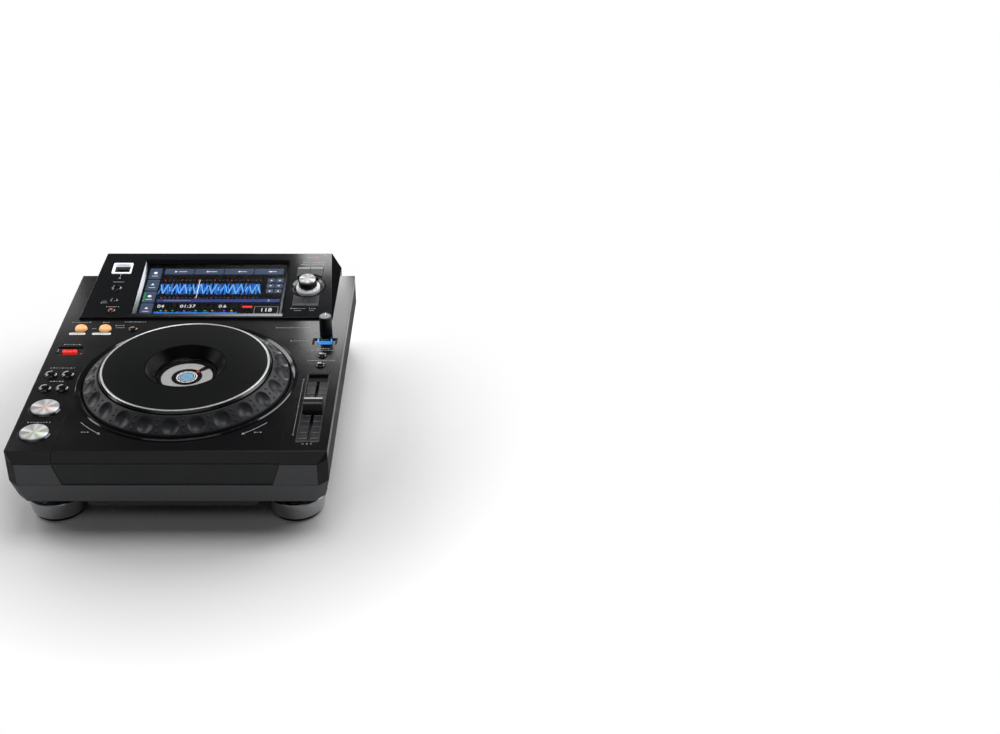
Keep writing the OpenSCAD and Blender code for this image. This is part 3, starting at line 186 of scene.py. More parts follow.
def wornAndHighlitEdges(tree, edge, colour, bump):
    link = tree.links.new
    radius, share, wearAndHighlightTone = edge
    soft = addNode(tree, "ShaderNodeBevel", {"Radius": radius}, samples=moulding["edgeSamples"])
    link(soft.outputs["Normal"], bump.inputs["Normal"])
    plain = addNode(tree, "ShaderNodeNewGeometry")
    facing = addNode(tree, "ShaderNodeVectorMath", operation="DOT_PRODUCT")
    link(soft.outputs["Normal"], facing.inputs[0])
    link(plain.outputs["Normal"], facing.inputs[1])
    # a lighter tone along the edges: partly wear, partly a painted highlight of the edge
    wearAndHighlight = spread(tree, facing.outputs["Value"], share, 0.0, *moulding["wearAndHighlightRange"])
    return mixTones(tree, wearAndHighlight, colour, wearAndHighlightTone)


def mouldedPlastic(name, look):
    material, tree, shader = freshMaterial(name)
    link = tree.links.new
    stops = moulding["grainStops"]
    grain = noise(tree, look["grain"], moulding["grainDetail"])
    colour = grainTone(tree, grain, look["dark"], look["light"], stops)
    if "cap" in look:  # another tone above a height
        height, dark, light = look["cap"]
        level = axisOf(tree, surfaceSpot(tree), "Z")
        above = spread(tree, level, 0, 1, height, height + moulding["capBlend"])
        colour = mixTones(tree, above, colour, grainTone(tree, grain, dark, light, stops))
    low, high = look["rough"]
    cloud = noise(tree, look.get("cloud", moulding["cloud"]))
    link(spread(tree, cloud, low, high), shader.inputs["Roughness"])
    bump = addBump(tree, shader, grain, look["relief"], moulding["depth"])
    if "edge" in look:
        colour = wornAndHighlitEdges(tree, look["edge"], colour, bump)
    link(colour, shader.inputs["Base Color"])
    shader.inputs["Specular IOR Level"].default_value = look["gloss"]
    if "sideGloss" in look:  # the upright sides are duller
        side = addNode(tree, "ShaderNodeMath", operation="ABSOLUTE")
        link(axisOf(tree, surfaceSpot(tree, "Normal"), "X"), side.inputs[0])
        dull = spread(tree, side.outputs["Value"], look["gloss"], look["sideGloss"], *moulding["sideRange"])
        link(dull, shader.inputs["Specular IOR Level"])
    return material


# Spun metal: bright and grey sectors round a middle, a painted reflection of the lamps in the turned face,
# with fine rings turned into it

spinning = {"peak": 0.9, "contrast": 3, "distortion": 0.6, "detail": 2.0, "depth": 0.05 * mm,
            "faceBlend": 0.2 * mm}

spinSheenSectors = [(0.0, 0.74), (0.05, 0.72), (0.13, 0.9), (0.2, 0.76), (0.27, 0.93), (0.34, 0.76), (0.41, 0.97),
               (0.465, 1.0), (0.505, 0.7), (0.56, 0.73), (0.62, 0.94), (0.69, 0.76), (0.75, 0.92),
               (0.82, 0.75), (0.9, 0.86), (0.955, 1.0), (0.985, 1.0), (1.0, 0.74)]


def spunMetal(name, look):
    material, tree, shader = freshMaterial(name)
    link = tree.links.new
    move = addNode(tree, "ShaderNodeMapping", {"Location": [-c for c in look["middle"]]})
    turn = addNode(tree, "ShaderNodeMapping", {"Rotation": (-look.get("tilt", 0), 0, 0)})
    link(surfaceSpot(tree), move.inputs["Vector"])
    link(move.outputs["Vector"], turn.inputs["Vector"])
    spot = turn.outputs["Vector"]
    sweep = addNode(tree, "ShaderNodeTexGradient", gradient_type="RADIAL")
    link(spot, sweep.inputs["Vector"])
    # the sectors are painted highlights: lamp reflections laid into the base colour by angle round the middle
    paintedSheenGreys = [(place, [spinning["peak"] * v ** spinning["contrast"]] * 3 + [1]) for place, v in spinSheenSectors]
    colour = rampTone(tree, sweep.outputs["Fac"], paintedSheenGreys)
    rings = addNode(tree, "ShaderNodeTexWave", {
        "Scale": look["rings"], "Distortion": spinning["distortion"], "Detail": spinning["detail"]},
        wave_type="RINGS", rings_direction="Z")
    link(spot, rings.inputs["Vector"])
    low, high = look["rough"]
    link(spread(tree, rings.outputs["Fac"], low, high, 0, 1), shader.inputs["Roughness"])
    addBump(tree, shader, rings.outputs["Fac"], look["relief"], spinning["depth"])
    shader.inputs["Metallic"].default_value = look["metal"]
    if "side" in look:  # everything below the metal face is black ribbed rubber
        base = look["faceFrom"]
        face = spread(tree, axisOf(tree, spot, "Z"), 0, 1, base, base + spinning["faceBlend"])
        colour = mixTones(tree, face, look["side"], colour)
        link(spread(tree, face, 0, look["metal"], 0, 1), shader.inputs["Metallic"])
    link(colour, shader.inputs["Base Color"])
    return material


# Plain metals, with fine scratches in the gloss

brushing = {"detail": 4.0, "depth": 0.05 * mm}


def brushedMetal(name, look):
    material, tree, shader = freshMaterial(name)
    link = tree.links.new
    stretch = addNode(tree, "ShaderNodeMapping", {"Scale": look.get("stretch", (1, 1, 1))})
    link(surfaceSpot(tree), stretch.inputs["Vector"])
    hairs = noise(tree, look["grain"], brushing["detail"], stretch.outputs["Vector"])
    link(grainTone(tree, hairs, look["dark"], look["light"]), shader.inputs["Base Color"])
    link(spread(tree, hairs, *look["rough"]), shader.inputs["Roughness"])
    addBump(tree, shader, hairs, look["relief"], brushing["depth"])
    shader.inputs["Metallic"].default_value = look["metal"]
    return material


# Plastic with a lamp behind it: a cloudy glow

glow = {"cloud": 160, "detail": 2.0, "relief": 0.04, "depth": 0.1 * mm, "gloss": 0.4}


def litPlastic(name, look):
    material, tree, shader = freshMaterial(name)
    link = tree.links.new
    cloud = noise(tree, glow["cloud"], glow["detail"])
    colour = grainTone(tree, cloud, look["dark"], look["light"])
    link(colour, shader.inputs["Base Color"])
    link(colour, shader.inputs["Emission Color"])
    shader.inputs["Emission Strength"].default_value = look["lamp"]
    link(spread(tree, cloud, *look["rough"]), shader.inputs["Roughness"])
    addBump(tree, shader, cloud, glow["relief"], glow["depth"])
    shader.inputs["Specular IOR Level"].default_value = glow["gloss"]
    return material


# Clear glass: see-through, with smears in its gloss and a coat that mirrors the studio

glassWork = {"detail": 4.0, "relief": 0.004, "depth": 0.1 * mm}


def clearGlass(name, look):
    material, tree, shader = freshMaterial(name)
    smear = noise(tree, look["smear"], glassWork["detail"])
    tree.links.new(spread(tree, smear, *look["rough"]), shader.inputs["Roughness"])
    settings = {"Base Color": tone(look["tint"]), "Transmission Weight": 1, "IOR": look["bend"],
                "Coat Weight": look["sheen"], "Coat Roughness": look["sheenRough"],
                "Coat IOR": look["sheenBend"]}
    for socket, value in settings.items():
        shader.inputs[socket].default_value = value
    addBump(tree, shader, smear, glassWork["relief"], glassWork["depth"])
    return material


# Small lit inks: a lit dot or picture element, with the fine rows of a display

inkWork = {"rows": 380, "lampRows": 5, "rowShade": 0.86, "baseShare": 0.25, "lamp": 1.0, "grain": 500,
           "rough": (0.3, 0.45)}


def litInk(name, look):
    material, tree, shader = freshMaterial(name)
    link = tree.links.new
    rows = addNode(tree, "ShaderNodeTexWave", {"Scale": look["rows"]}, wave_type="BANDS", bands_direction="Y")
    link(surfaceSpot(tree), rows.inputs["Vector"])
    full = tone(look["tone"])
    shade = [c * inkWork["rowShade"] for c in full[:3]] + [1]
    link(rampTone(tree, rows.outputs["Fac"], [(0.0, shade), (1.0, full)]), shader.inputs["Emission Color"])
    shader.inputs["Base Color"].default_value = [c * inkWork["baseShare"] for c in full[:3]] + [1]
    shader.inputs["Emission Strength"].default_value = inkWork["lamp"]
    link(spread(tree, noise(tree, inkWork["grain"]), *inkWork["rough"]), shader.inputs["Roughness"])
    return material


# Finishes of the frame's nodes

# edge is its rounding, how far it is painted lighter and that tone (wear and a painted edge highlight), and
# cap a height and the tones above it
plastics = {
    "deckBlack": dict(dark="#0e0e10", light="#141416", grain=1500, rough=(0.16, 0.21), relief=0.06,
                      gloss=0.35, sideGloss=0.03, edge=(0.6 * mm, 0.6, "#3c3c3e")),
    # below the cap height the lower band of this one moulding is painted a far lighter grey than the belt:
    # painted reflection of the pale floor that the inward-leaning band faces; the grain is the case's own
    "caseGrain": dict(dark="#5a5b5d", light="#646567", grain=900, rough=(0.5, 0.62), relief=0.3, gloss=0.2,
                      sideGloss=0.03, cap=(52.3 * mm, "#2c2d2f", "#3a3b3d"),
                      edge=(0.6 * mm, 0.5, "#4a4a4c")),
    "cornerGrey": dict(dark="#545557", light="#5a5b5d", grain=1800, rough=(0.42, 0.5), relief=0.05,
                       gloss=0.25, edge=(0.5 * mm, 0.5, "#6a6a6c")),
    "housingBlack": dict(dark="#111214", light="#17181a", grain=1500, rough=(0.14, 0.18), relief=0.05,
                         gloss=0.7, sideGloss=0.0, edge=(0.6 * mm, 0.5, "#444446")),
    "rimGrey": dict(dark="#242528", light="#2e2f32", grain=1300, rough=(0.34, 0.42), relief=0.08,
                    gloss=0.25, edge=(0.4 * mm, 0.3, "#6c6c6e")),
    "plateSpeckle": dict(dark="#010101", light="#161818", grain=620, rough=(0.18, 0.23), relief=0.1,
                         gloss=0.55, cloud=9),
    "glossBlack": dict(dark="#060607", light="#0b0b0c", grain=700, rough=(0.08, 0.13), relief=0.01,
                       gloss=0.9),
    "pressRing": dict(dark="#0a0a0b", light="#101011", grain=900, rough=(0.07, 0.11), relief=0.01,
                      gloss=1.0),
    "ringBlack": dict(dark="#0c0c0e", light="#151517", grain=900, rough=(0.08, 0.12), relief=0.01,
                      gloss=0.7),
    "dishBlack": dict(dark="#030304", light="#060607", grain=1500, rough=(0.28, 0.34), relief=0.03,
                      gloss=0.06),
    "lcdBlack": dict(dark="#020203", light="#050506", grain=700, rough=(0.3, 0.4), relief=0.01, gloss=0.1),
    "trayGrey": dict(dark="#232426", light="#2d2e30", grain=1200, rough=(0.4, 0.5), relief=0.1, gloss=0.3,
                     edge=(0.3 * mm, 0.6, "#77787a")),
    "faderGrey": dict(dark="#2b2c2e", light="#353638", grain=1200, rough=(0.36, 0.44), relief=0.06,
                      gloss=0.35, edge=(0.5 * mm, 0.5, "#666769")),
    "keyGrey": dict(dark="#262729", light="#303133", grain=1500, rough=(0.28, 0.36), relief=0.04, gloss=0.4,
                    edge=(0.6 * mm, 0.8, "#9a9b9d")),
    "knobBlack": dict(dark="#111113", light="#1a1a1c", grain=1300, rough=(0.4, 0.5), relief=0.08,
                      gloss=0.35, edge=(0.3 * mm, 0.4, "#4c4c4e")),
    "speedBlack": dict(dark="#0d0d0f", light="#151517", grain=1300, rough=(0.3, 0.4), relief=0.08,
                       gloss=0.2, edge=(0.3 * mm, 0.4, "#55565a"), cap=(107.4 * mm, "#747577", "#828385")),
    "panPaint": dict(dark="#3e3f41", light="#4a4b4d", grain=1700, rough=(0.5, 0.6), relief=0.2, gloss=0.3,
                     edge=(0.5 * mm, 0.4, "#505153")),
    "platePaint": dict(dark="#202123", light="#2a2b2d", grain=1700, rough=(0.5, 0.6), relief=0.2, gloss=0.3,
                       edge=(0.4 * mm, 0.4, "#4c4d4f")),
    "padRubber": dict(dark="#0c0c0d", light="#161617", grain=1400, rough=(0.8, 0.9), relief=0.4, gloss=0.2),
    "skirtWhite": dict(dark="#eceeef", light="#f6f7f8", grain=1500, rough=(0.3, 0.4), relief=0.03,
                       gloss=0.4),
    "boardGreen": dict(dark="#0d3a22", light="#15512f", grain=420, rough=(0.4, 0.55), relief=0.1,
                       gloss=0.4),
    "portDark": dict(dark="#202124", light="#2a2b2e", grain=1300, rough=(0.4, 0.5), relief=0.08, gloss=0.2),
    "socketBlack": dict(dark="#0d0d0f", light="#161618", grain=1300, rough=(0.4, 0.5), relief=0.08,
                        gloss=0.35, edge=(0.3 * mm, 0.4, "#3c3c3e")),
}

metals = {
    "frameDark": dict(dark="#505256", light="#5c5e62", grain=500, stretch=(1, 12, 12), metal=1,
                      rough=(0.14, 0.2), relief=0.03),
    "trimSilver": dict(dark="#d8d9da", light="#ececec", grain=900, metal=0.5, rough=(0.25, 0.35),
                       relief=0.02),
    "footMetal": dict(dark="#98999b", light="#aeafb1", grain=260, stretch=(1, 1, 14), metal=1,
                      rough=(0.2, 0.28), relief=0.05),
    "steelZinc": dict(dark="#8c8e90", light="#a6a8aa", grain=700, metal=1, rough=(0.3, 0.45), relief=0.05),
    "bearingBrass": dict(dark="#9a7432", light="#c0954a", grain=600, metal=1, rough=(0.25, 0.4),
                         relief=0.05),
    "socketNickel": dict(dark="#a2a5a8", light="#c4c7ca", grain=800, metal=1, rough=(0.18, 0.3),
                         relief=0.03),
    "castGrey": dict(dark="#4e5154", light="#5e6164", grain=800, metal=0.9, rough=(0.4, 0.55), relief=0.15),
}

lamps = {
    "loopAmber": dict(dark="#f0a25c", light="#fbbd84", lamp=0.35, rough=(0.25, 0.35)),
    "leverRed": dict(dark="#f2271f", light="#ff4238", lamp=0.45, rough=(0.3, 0.4)),
    "modeBlue": dict(dark="#2f83e2", light="#4a9bf4", lamp=0.5, rough=(0.25, 0.35)),
    "slotWhite": dict(dark="#e4eaf2", light="#f2f6fc", lamp=0.5, rough=(0.3, 0.4)),
}

glasses = {
    "screenGlass": dict(tint="#ffffff", smear=30, rough=(0.02, 0.05), bend=1.03, sheen=0.8, sheenRough=0.17,
                        sheenBend=1.6),
    "dialGlass": dict(tint="#ffffff", smear=60, rough=(0.02, 0.05), bend=1.2, sheen=0.5, sheenRough=0.15,
                      sheenBend=1.5),
}

spunFaces = {
    finish: {"middle": (middle(node).x, middle(node).y, deckZ), "rings": 900, "rough": (0.3, 0.42),
             "relief": 0.1, "metal": 0.35}
    for finish, node in (("cueSpun", "cue_button"), ("playSpun", "play_button"))}
spunFaces["selectorSpun"] = {
    "middle": jointSpot("selector_turn"), "tilt": panelTilt, "rings": 1400, "rough": (0.28, 0.4),
    "relief": 0.1, "metal": 0.35, "side": "#101012", "faceFrom": 8.9 * mm}

displayInks = {"tileSlate": "#35455f", "tileEdge": "#5a6d8c", "barNavy": "#1d3578", "waveBlue": "#1f7de0",
               "wavePale": "#7cc4ff", "waveDeep": "#124c9c", "pointRed": "#ff2a22", "pointGreen": "#28d83c",
               "pointViolet": "#a13cf0", "pointYellow": "#f2e02a", "pointOrange": "#ff8a1e",
               "pointCyan": "#35c8ee", "inkWhite": "#f4f6f8", "inkGrey": "#8e949c", "dialGrey": "#a9a9a9",
               "dialBlue": "#6fa9cf", "tagRed": "#e3201b", "barGreen": "#1fa32e"}
lampInks = {"ledRed": "#ff3436", "ledAmber": "#ffb066", "cueOrange": "#ff8c1c", "playGreen": "#9ff01c",
            "modeCyan": "#3fa0d8"}
inks = {name: {"tone": shade, "rows": inkWork["rows"]} for name, shade in displayInks.items()}
inks.update({name: {"tone": shade, "rows": inkWork["lampRows"]} for name, shade in lampInks.items()})

prints = {
    "printPale": dict(dark="#a2a3a5", light="#b8b9bb", grain=2200, rough=(0.5, 0.6), relief=0.1,
                      gloss=0.25),
    # dim grey print, also used for a painted highlight beside the lever slot
    "printDim": dict(dark="#7e7f81", light="#939496", grain=2200, rough=(0.5, 0.6), relief=0.1, gloss=0.25),
    "printWhite": dict(dark="#e6e6e6", light="#f6f6f6", grain=2200, rough=(0.4, 0.5), relief=0.05,
                       gloss=0.3),
    # black for printed signs and dots, also used as painted shade in the frame round the jog mode button
    "inlayBlack": dict(dark="#050506", light="#0a0a0b", grain=1800, rough=(0.35, 0.45), relief=0.05,
                       gloss=0.04),
    "leverDark": dict(dark="#8c1712", light="#a81d17", grain=1800, rough=(0.4, 0.5), relief=0.05,
                      gloss=0.3),
    "faderSilver": dict(dark="#b4b5b6", light="#d2d3d4", grain=1500, rough=(0.25, 0.35), relief=0.03,
                        gloss=0.5),
}

finishNodes = {
    "deckBlack": ["top_cover"], "caseGrain": ["lower_case"], "cornerGrey": ["corner_panels"],
    "panPaint": ["bottom_pan"], "platePaint": ["rear_plate"], "housingBlack": ["screen_housing"],
    "frameDark": ["screen_frame"], "screenGlass": ["touch_glass"], "lcdBlack": ["lcd_module", "jog_display"],
    "slotWhite": ["usb_light_frame"], "portDark": ["usb_socket"], "ringBlack": ["jog_well_ring"],
    "castGrey": ["jog_post"], "bearingBrass": ["jog_bearing"], "footMetal": ["foot_rings"],
    "padRubber": ["foot_pads"], "steelZinc": ["case_screws", "slider_pot", "selector_shaft"],
    "boardGreen": ["circuit_boards"], "trayGrey": ["slider_tray"],
    "socketBlack": ["power_inlet", "power_button"],
    "socketNickel": ["phono_jacks", "lan_socket", "usb_b_socket"], "pressRing": ["button_rings"],
    "skirtWhite": ["selector_skirt"], "rimGrey": ["jog_rim"], "knobBlack": ["jog_hub", "encoder_ring"],
    "plateSpeckle": ["jog_plate"], "trimSilver": ["jog_trim_ring"], "dishBlack": ["jog_dish"],
    "dialGlass": ["jog_window"], "loopAmber": ["loop_in_button", "loop_out_button"],
    "glossBlack": ["selector_well", "reloop_button", "track_back_button", "track_next_button",
                   "search_back_button", "search_next_button", "tempo_range_button", "master_tempo_button",
                   "usb_stop_button", "time_mode_button", "quantize_button"],
    "leverRed": ["direction_lever"], "speedBlack": ["speed_knob"], "modeBlue": ["jog_mode_button"],
    "faderGrey": ["tempo_fader"], "keyGrey": ["back_key", "tag_key", "info_key", "menu_key"],
    "cueSpun": ["cue_button"], "playSpun": ["play_button"], "selectorSpun": ["selector_knob"],
}


def paintNodes():
    makers = ((plastics, mouldedPlastic), (metals, brushedMetal), (lamps, litPlastic), (glasses, clearGlass),
              (prints, mouldedPlastic), (inks, litInk), (spunFaces, spunMetal))
    made = {name: maker(name, look) for table, maker in makers for name, look in table.items()}
    painted = [(node, made[finish]) for finish, names in finishNodes.items() for node in names]
    for node, material in painted:
        mesh = nodes[node].data
        if mesh.materials:
            mesh.materials[0] = material
        else:
            mesh.materials.append(material)
    print("nodes painted:", len(painted))
    return made


# Floor and light

studio = {
    "worldTone": 0.04,
    "panels": {
        "overhead": {"place": (0.3, 0.35, 2.0), "aim": (0.3, 0.35, 0.0), "size": (1.2, 1.0), "watts": 19},
        "front": {"place": (-0.1, -1.4, 1.9), "aim": (0.0, 0.0, 0.05), "size": (2.4, 0.9), "watts": 3.5},
        "left": {"place": (-0.9, 0.4, 0.75), "aim": (0.0, 0.0, 0.08), "size": (1.1, 0.6), "watts": 7},
        "right": {"place": (0.95, 0.45, 0.75), "aim": (0.0, 0.0, 0.08), "size": (1.1, 0.6), "watts": 8},
        "rearRightLow": {"place": (0.0675, 0.35, 0.14), "aim": (0.0675, 0.0, 0.14), "size": (0.115, 0.12),
                         "watts": 0.38},
        "rearRightHigh": {"place": (0.162, 0.35, 0.246), "aim": (0.162, 0.0, 0.246), "size": (0.196, 0.1),
                          "watts": 0.28},
        "rearLeftLow": {"place": (-0.52, 0.6, 0.24), "aim": (-0.52, 0.0, 0.24), "size": (0.46, 0.28),
                        "watts": 0.92},
        "rearLeftHigh": {"place": (-0.25, 0.6, 0.38), "aim": (-0.25, 0.0, 0.38), "size": (0.6, 0.16),
                         "watts": 0.05},
    },
}

ground = {"size": 40, "tone": "#e2e2e2", "cloud": 3.0, "cloudDetail": 4.0, "rough": (0.2, 0.28),
          "gloss": 0.08, "shadowReach": (0.42, 0.48), "fade": (0.19, 0.5)}


def whiteShare(tree):  # how white the floor is: all white far away, for rays that see or mirror it
    link = tree.links.new
    wide, long = ground["shadowReach"]
    centre = addNode(tree, "ShaderNodeMapping", {"Scale": (1 / wide, 1 / long, 1)})
    link(surfaceSpot(tree), centre.inputs["Vector"])
    ball = addNode(tree, "ShaderNodeTexGradient", gradient_type="SPHERICAL")
    link(centre.outputs["Vector"], ball.inputs["Vector"])
    share = spread(tree, ball.outputs["Fac"], 1, 0, *ground["fade"])
    rays = addNode(tree, "ShaderNodeLightPath")
    seen = rays.outputs["Is Camera Ray"]
    for kind in ("Is Glossy Ray", "Is Transmission Ray"):
        either = addNode(tree, "ShaderNodeMath", operation="MAXIMUM")
        link(seen, either.inputs[0])
        link(rays.outputs[kind], either.inputs[1])
        seen = either.outputs["Value"]
    both = addNode(tree, "ShaderNodeMath", operation="MULTIPLY")
    link(share, both.inputs[0])
    link(seen, both.inputs[1])
    return both.outputs["Value"]


def addFloor():
    bpy.ops.object.select_all(action="DESELECT")
    bpy.ops.mesh.primitive_plane_add(size=ground["size"])
    floor = bpy.context.object
    floor.name = "floor"
    material, tree, shader = freshMaterial("floorPale")
    link = tree.links.new
    shader.inputs["Base Color"].default_value = tone(ground["tone"])
    shader.inputs["Specular IOR Level"].default_value = ground["gloss"]
    cloud = noise(tree, ground["cloud"], ground["cloudDetail"])
    link(spread(tree, cloud, *ground["rough"]), shader.inputs["Roughness"])
    shine = addNode(tree, "ShaderNodeEmission", {"Color": (1, 1, 1, 1), "Strength": 1.0})
    blend = addNode(tree, "ShaderNodeMixShader")
    link(whiteShare(tree), blend.inputs["Fac"])
    link(shader.outputs["BSDF"], blend.inputs[1])
    link(shine.outputs["Emission"], blend.inputs[2])
    link(blend.outputs["Shader"], tree.nodes["Material Output"].inputs["Surface"])
    floor.data.materials.append(material)


def addLight(name, look):
    bpy.ops.object.select_all(action="DESELECT")
    bpy.ops.object.light_add(type="AREA", location=look["place"])
    lamp = bpy.context.object
    lamp.name = name
    lamp.data.shape = "RECTANGLE"
    lamp.data.size, lamp.data.size_y = look["size"]
    lamp.data.energy = look["watts"]
    aim = [t - p for t, p in zip(look["aim"], look["place"])]
    flat = math.hypot(aim[0], aim[1])
    lamp.rotation_euler = (math.atan2(flat, -aim[2]), 0, math.atan2(-aim[0], aim[1]))
    lamp.visible_camera = False


def addStudio():
    world = bpy.data.worlds.new("studioAir")
    bpy.context.scene.world = world
    world.use_nodes = True
    grey = studio["worldTone"]
    world.node_tree.nodes["Background"].inputs["Color"].default_value = (grey, grey, grey, 1)
    addFloor()
    for name, look in studio["panels"].items():
        addLight(name + "Panel", look)
    print("studio ready")


# Modelling helpers: a piece starts as an empty mesh in edit mode, flat shapes are added to it in
# millimetres, and then it is given its thickness and put in its place

making = {"bandWeld": 0.001 * mm, "weld": 0.002 * mm, "cornerSteps": 3, "edgeSteps": 3, "smoothAngle": 35,
          "capShare": 0.7, "curveSteps": 3}


def startPiece(name):
    if bpy.context.mode != "OBJECT":
        bpy.ops.object.mode_set(mode="OBJECT")
    bpy.ops.object.select_all(action="DESELECT")
    bpy.ops.mesh.primitive_plane_add(size=mm)
    piece = bpy.context.object
    piece.name = piece.data.name = name
    bpy.ops.object.mode_set(mode="EDIT")
    bpy.ops.mesh.delete(type="VERT")
    return piece


def turnFlat(x, y, turn):  # without a window the operator turns the other way
    if turn:
        centre = (x * mm, y * mm, 0)
        bpy.ops.transform.rotate(value=-math.radians(turn), orient_axis="Z", center_override=centre)


def tile(x, y, width, length, corner=0, turn=0):
    centre = (x * mm, y * mm, 0)
    bpy.ops.mesh.primitive_plane_add(size=mm, location=centre)
    bpy.ops.transform.resize(value=(width, length, 1), center_override=centre)
    if corner:
        bpy.ops.mesh.bevel(offset=corner * mm, segments=making["cornerSteps"], affect="VERTICES")
    turnFlat(x, y, turn)


def disc(x, y, radius, sides=20, turn=0):
    centre = (x * mm, y * mm, 0)
    bpy.ops.mesh.primitive_circle_add(vertices=sides, radius=radius * mm, fill_type="NGON", location=centre)
    turnFlat(x, y, turn)


def arrow(x, y, radius, turn=0):  # a triangle that points to +x at turn 0
    disc(x, y, radius, 3, turn - 90)


def band(x, y, inner, outer, start, sweep, steps=24):  # part of a flat ring, spun from its first edge
    centre = (x * mm, y * mm, 0)
    first = ((x + (inner + outer) / 2) * mm, y * mm, 0)
    bpy.ops.mesh.primitive_plane_add(size=(outer - inner) * mm, location=first)
    bpy.ops.transform.resize(value=(1, 0, 1), center_override=centre)
    bpy.ops.mesh.remove_doubles(threshold=making["bandWeld"])
    turnFlat(x, y, start)
    bpy.ops.mesh.spin(steps=steps, angle=-math.radians(sweep), center=centre, axis=(0, 0, 1))


def numerals(x, y, height, text):  # plain numbers, made a mesh and joined to the piece that is open
    piece = bpy.context.object
    bpy.ops.object.mode_set(mode="OBJECT")
    bpy.ops.object.select_all(action="DESELECT")
    bpy.ops.object.text_add(location=(x * mm, y * mm, 0))
    label = bpy.context.object
    label.data.body = text
    label.data.size = height * mm / making["capShare"]
    label.data.align_x, label.data.align_y = "CENTER", "CENTER"
    label.data.resolution_u = making["curveSteps"]
    bpy.ops.object.convert(target="MESH")
    piece.select_set(True)
    bpy.context.view_layer.objects.active = piece
    bpy.ops.object.join()
    bpy.ops.object.mode_set(mode="EDIT")


shapes = {"tile": tile, "disc": disc, "arrow": arrow, "band": band, "numerals": numerals}


def draw(marks):  # each mark is a shape's name and its numbers
    for mark in marks:
        shapes[mark[0]](*mark[1:])


def closePiece(piece, height, place, tilt=0, edge=0):
    bpy.ops.mesh.select_all(action="SELECT")
    bpy.ops.mesh.remove_doubles(threshold=making["weld"])
    bpy.ops.mesh.extrude_region_move(TRANSFORM_OT_translate={"value": (0, 0, height * mm)})
    bpy.ops.mesh.select_all(action="SELECT")
    bpy.ops.mesh.normals_make_consistent(inside=False)
    bpy.ops.object.mode_set(mode="OBJECT")
    if edge:
        soften = piece.modifiers.new("soften", "BEVEL")
        soften.width, soften.segments, soften.limit_method = edge * mm, making["edgeSteps"], "ANGLE"
        bpy.ops.object.modifier_apply(modifier="soften")
    bpy.ops.object.shade_smooth_by_angle(angle=math.radians(making["smoothAngle"]))
    piece.rotation_euler = (tilt, 0, 0)
    piece.location = place
    bpy.ops.object.transform_apply(location=True, rotation=True, scale=True)


def dress(piece, finish, body="player", slot="light_white"):
    piece.data.materials.clear()
    piece.data.materials.append(finishes[finish])
    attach(piece, body)


def deckPiece(name, marks, finish, lift=-0.02, height=0.07, edge=0, **ride):
    piece = startPiece(name)
    draw(marks)
    closePiece(piece, height, (0, deckEdgeY, deckZ + lift * mm), 0, edge)
    dress(piece, finish, **ride)


def panelPiece(name, marks, finish, lift=-0.02, height=0.07, edge=0, **ride):
    piece = startPiece(name)
    draw(marks)
    closePiece(piece, height, panelSpot(0, 0, lift * mm), panelTilt, edge)
    dress(piece, finish, **ride)


# Screen picture: lit layers on the display, under the glass, in millimetres up the panel

screenPicture = {
    "ground": -5.99, "step": 0.02, "height": 0.012, "left": -59.5, "right": 75.0,
    "tabs": {"count": 4, "first": 17.2, "pitch": 33.4, "s": 90.6, "size": (32.4, 10.2), "corner": 0.8},
    "side": {"count": 4, "x": -68.6, "first": 86.6, "pitch": 21.4, "size": (13.6, 19.4), "corner": 0.8},
    "small": {"count": 6, "x": 62.4, "s": 74.2, "pitch": (9.2, 9.8), "size": (8.2, 7.4), "corner": 0.6},
    "shine": {"inset": 0.5, "shorter": 0.8, "thick": 0.5},
    "bar": {"s": 37.4, "thick": 5.6, "line": (22, 30, 0.9)},
    "tabArrow": {"from": -4, "step": 2, "radius": 1.9}, "tabDash": (4, 9, 0.8),
    "sideSign": {"lift": 1.5, "disc": 2.1, "arrow": 2.4}, "sideDash": (-4.2, 7, 0.7), "smallArrow": 1.5,
    "wave": {"mid": 58.5, "half": 10.5, "end": 52.0},
    "playLine": {"share": 0.38, "size": (0.7, 34)},
    "beats": {"count": 24, "first": 4, "pitch": 4.6, "reach": 16, "every": 4, "tick": (0.5, 1.4),
              "strong": (0.9, 2.2)},
    "cues": {"count": 3, "first": 12, "pitch": 23, "s": 12.2, "radius": 1.2},
    "overview": {"mid": 15.2, "half": 2.8, "end": 31.0, "bars": 70, "heights": (0.3, 1.0), "seed": 11},
    "point": {"lift": 4.4, "size": (1.9, 1.5)},
    "numbers": ((-53.5, 27.0, 5.4, "04"), (-24, 27.0, 5.4, "01:37"), (14, 27.0, 5.0, "0.6"),
                (62, 20.5, 6.2, "118"), (63, 37.4, 3.2, "2")),
    "box": {"x": 62, "s": 20.5, "size": (25.6, 12.2), "overlap": (0.4, 0.5), "thick": 0.5},
    "tag": (41, 26.4, 11, 3.8, 0.5), "level": (-74.2, 43.8, 1.4, 16),
}

waveLayers = {  # bars, lowest and highest share of the height, seed, share of the pitch, lean in degrees
    "screenWaveDeep": (58, 0.8, 1.0, 3, 0.66, 8), "screenWave": (46, 0.75, 1.0, 71, 0.42, 12),
    "screenWaveCore": (25, 0.3, 0.9, 137, 0.2, -14)}
waveInks = {"screenWaveDeep": "waveDeep", "screenWave": "waveBlue", "screenWaveCore": "wavePale"}

overviewPoints = {"Green": (0.22, 0.61), "Violet": (0.36, 0.84), "Yellow": (0.93,), "Orange": (0.14, 0.7),
                  "Cyan": (0.08, 0.5)}


def screenLayer(name, level, marks, ink):
    look = screenPicture
    panelPiece(name, marks, ink, look["ground"] + level * look["step"], look["height"], slot="lcd")


def chance(i):  # the same scattered number between 0 and 1 every time
    return (math.sin(i * 12.9898) * 43758.5453) % 1


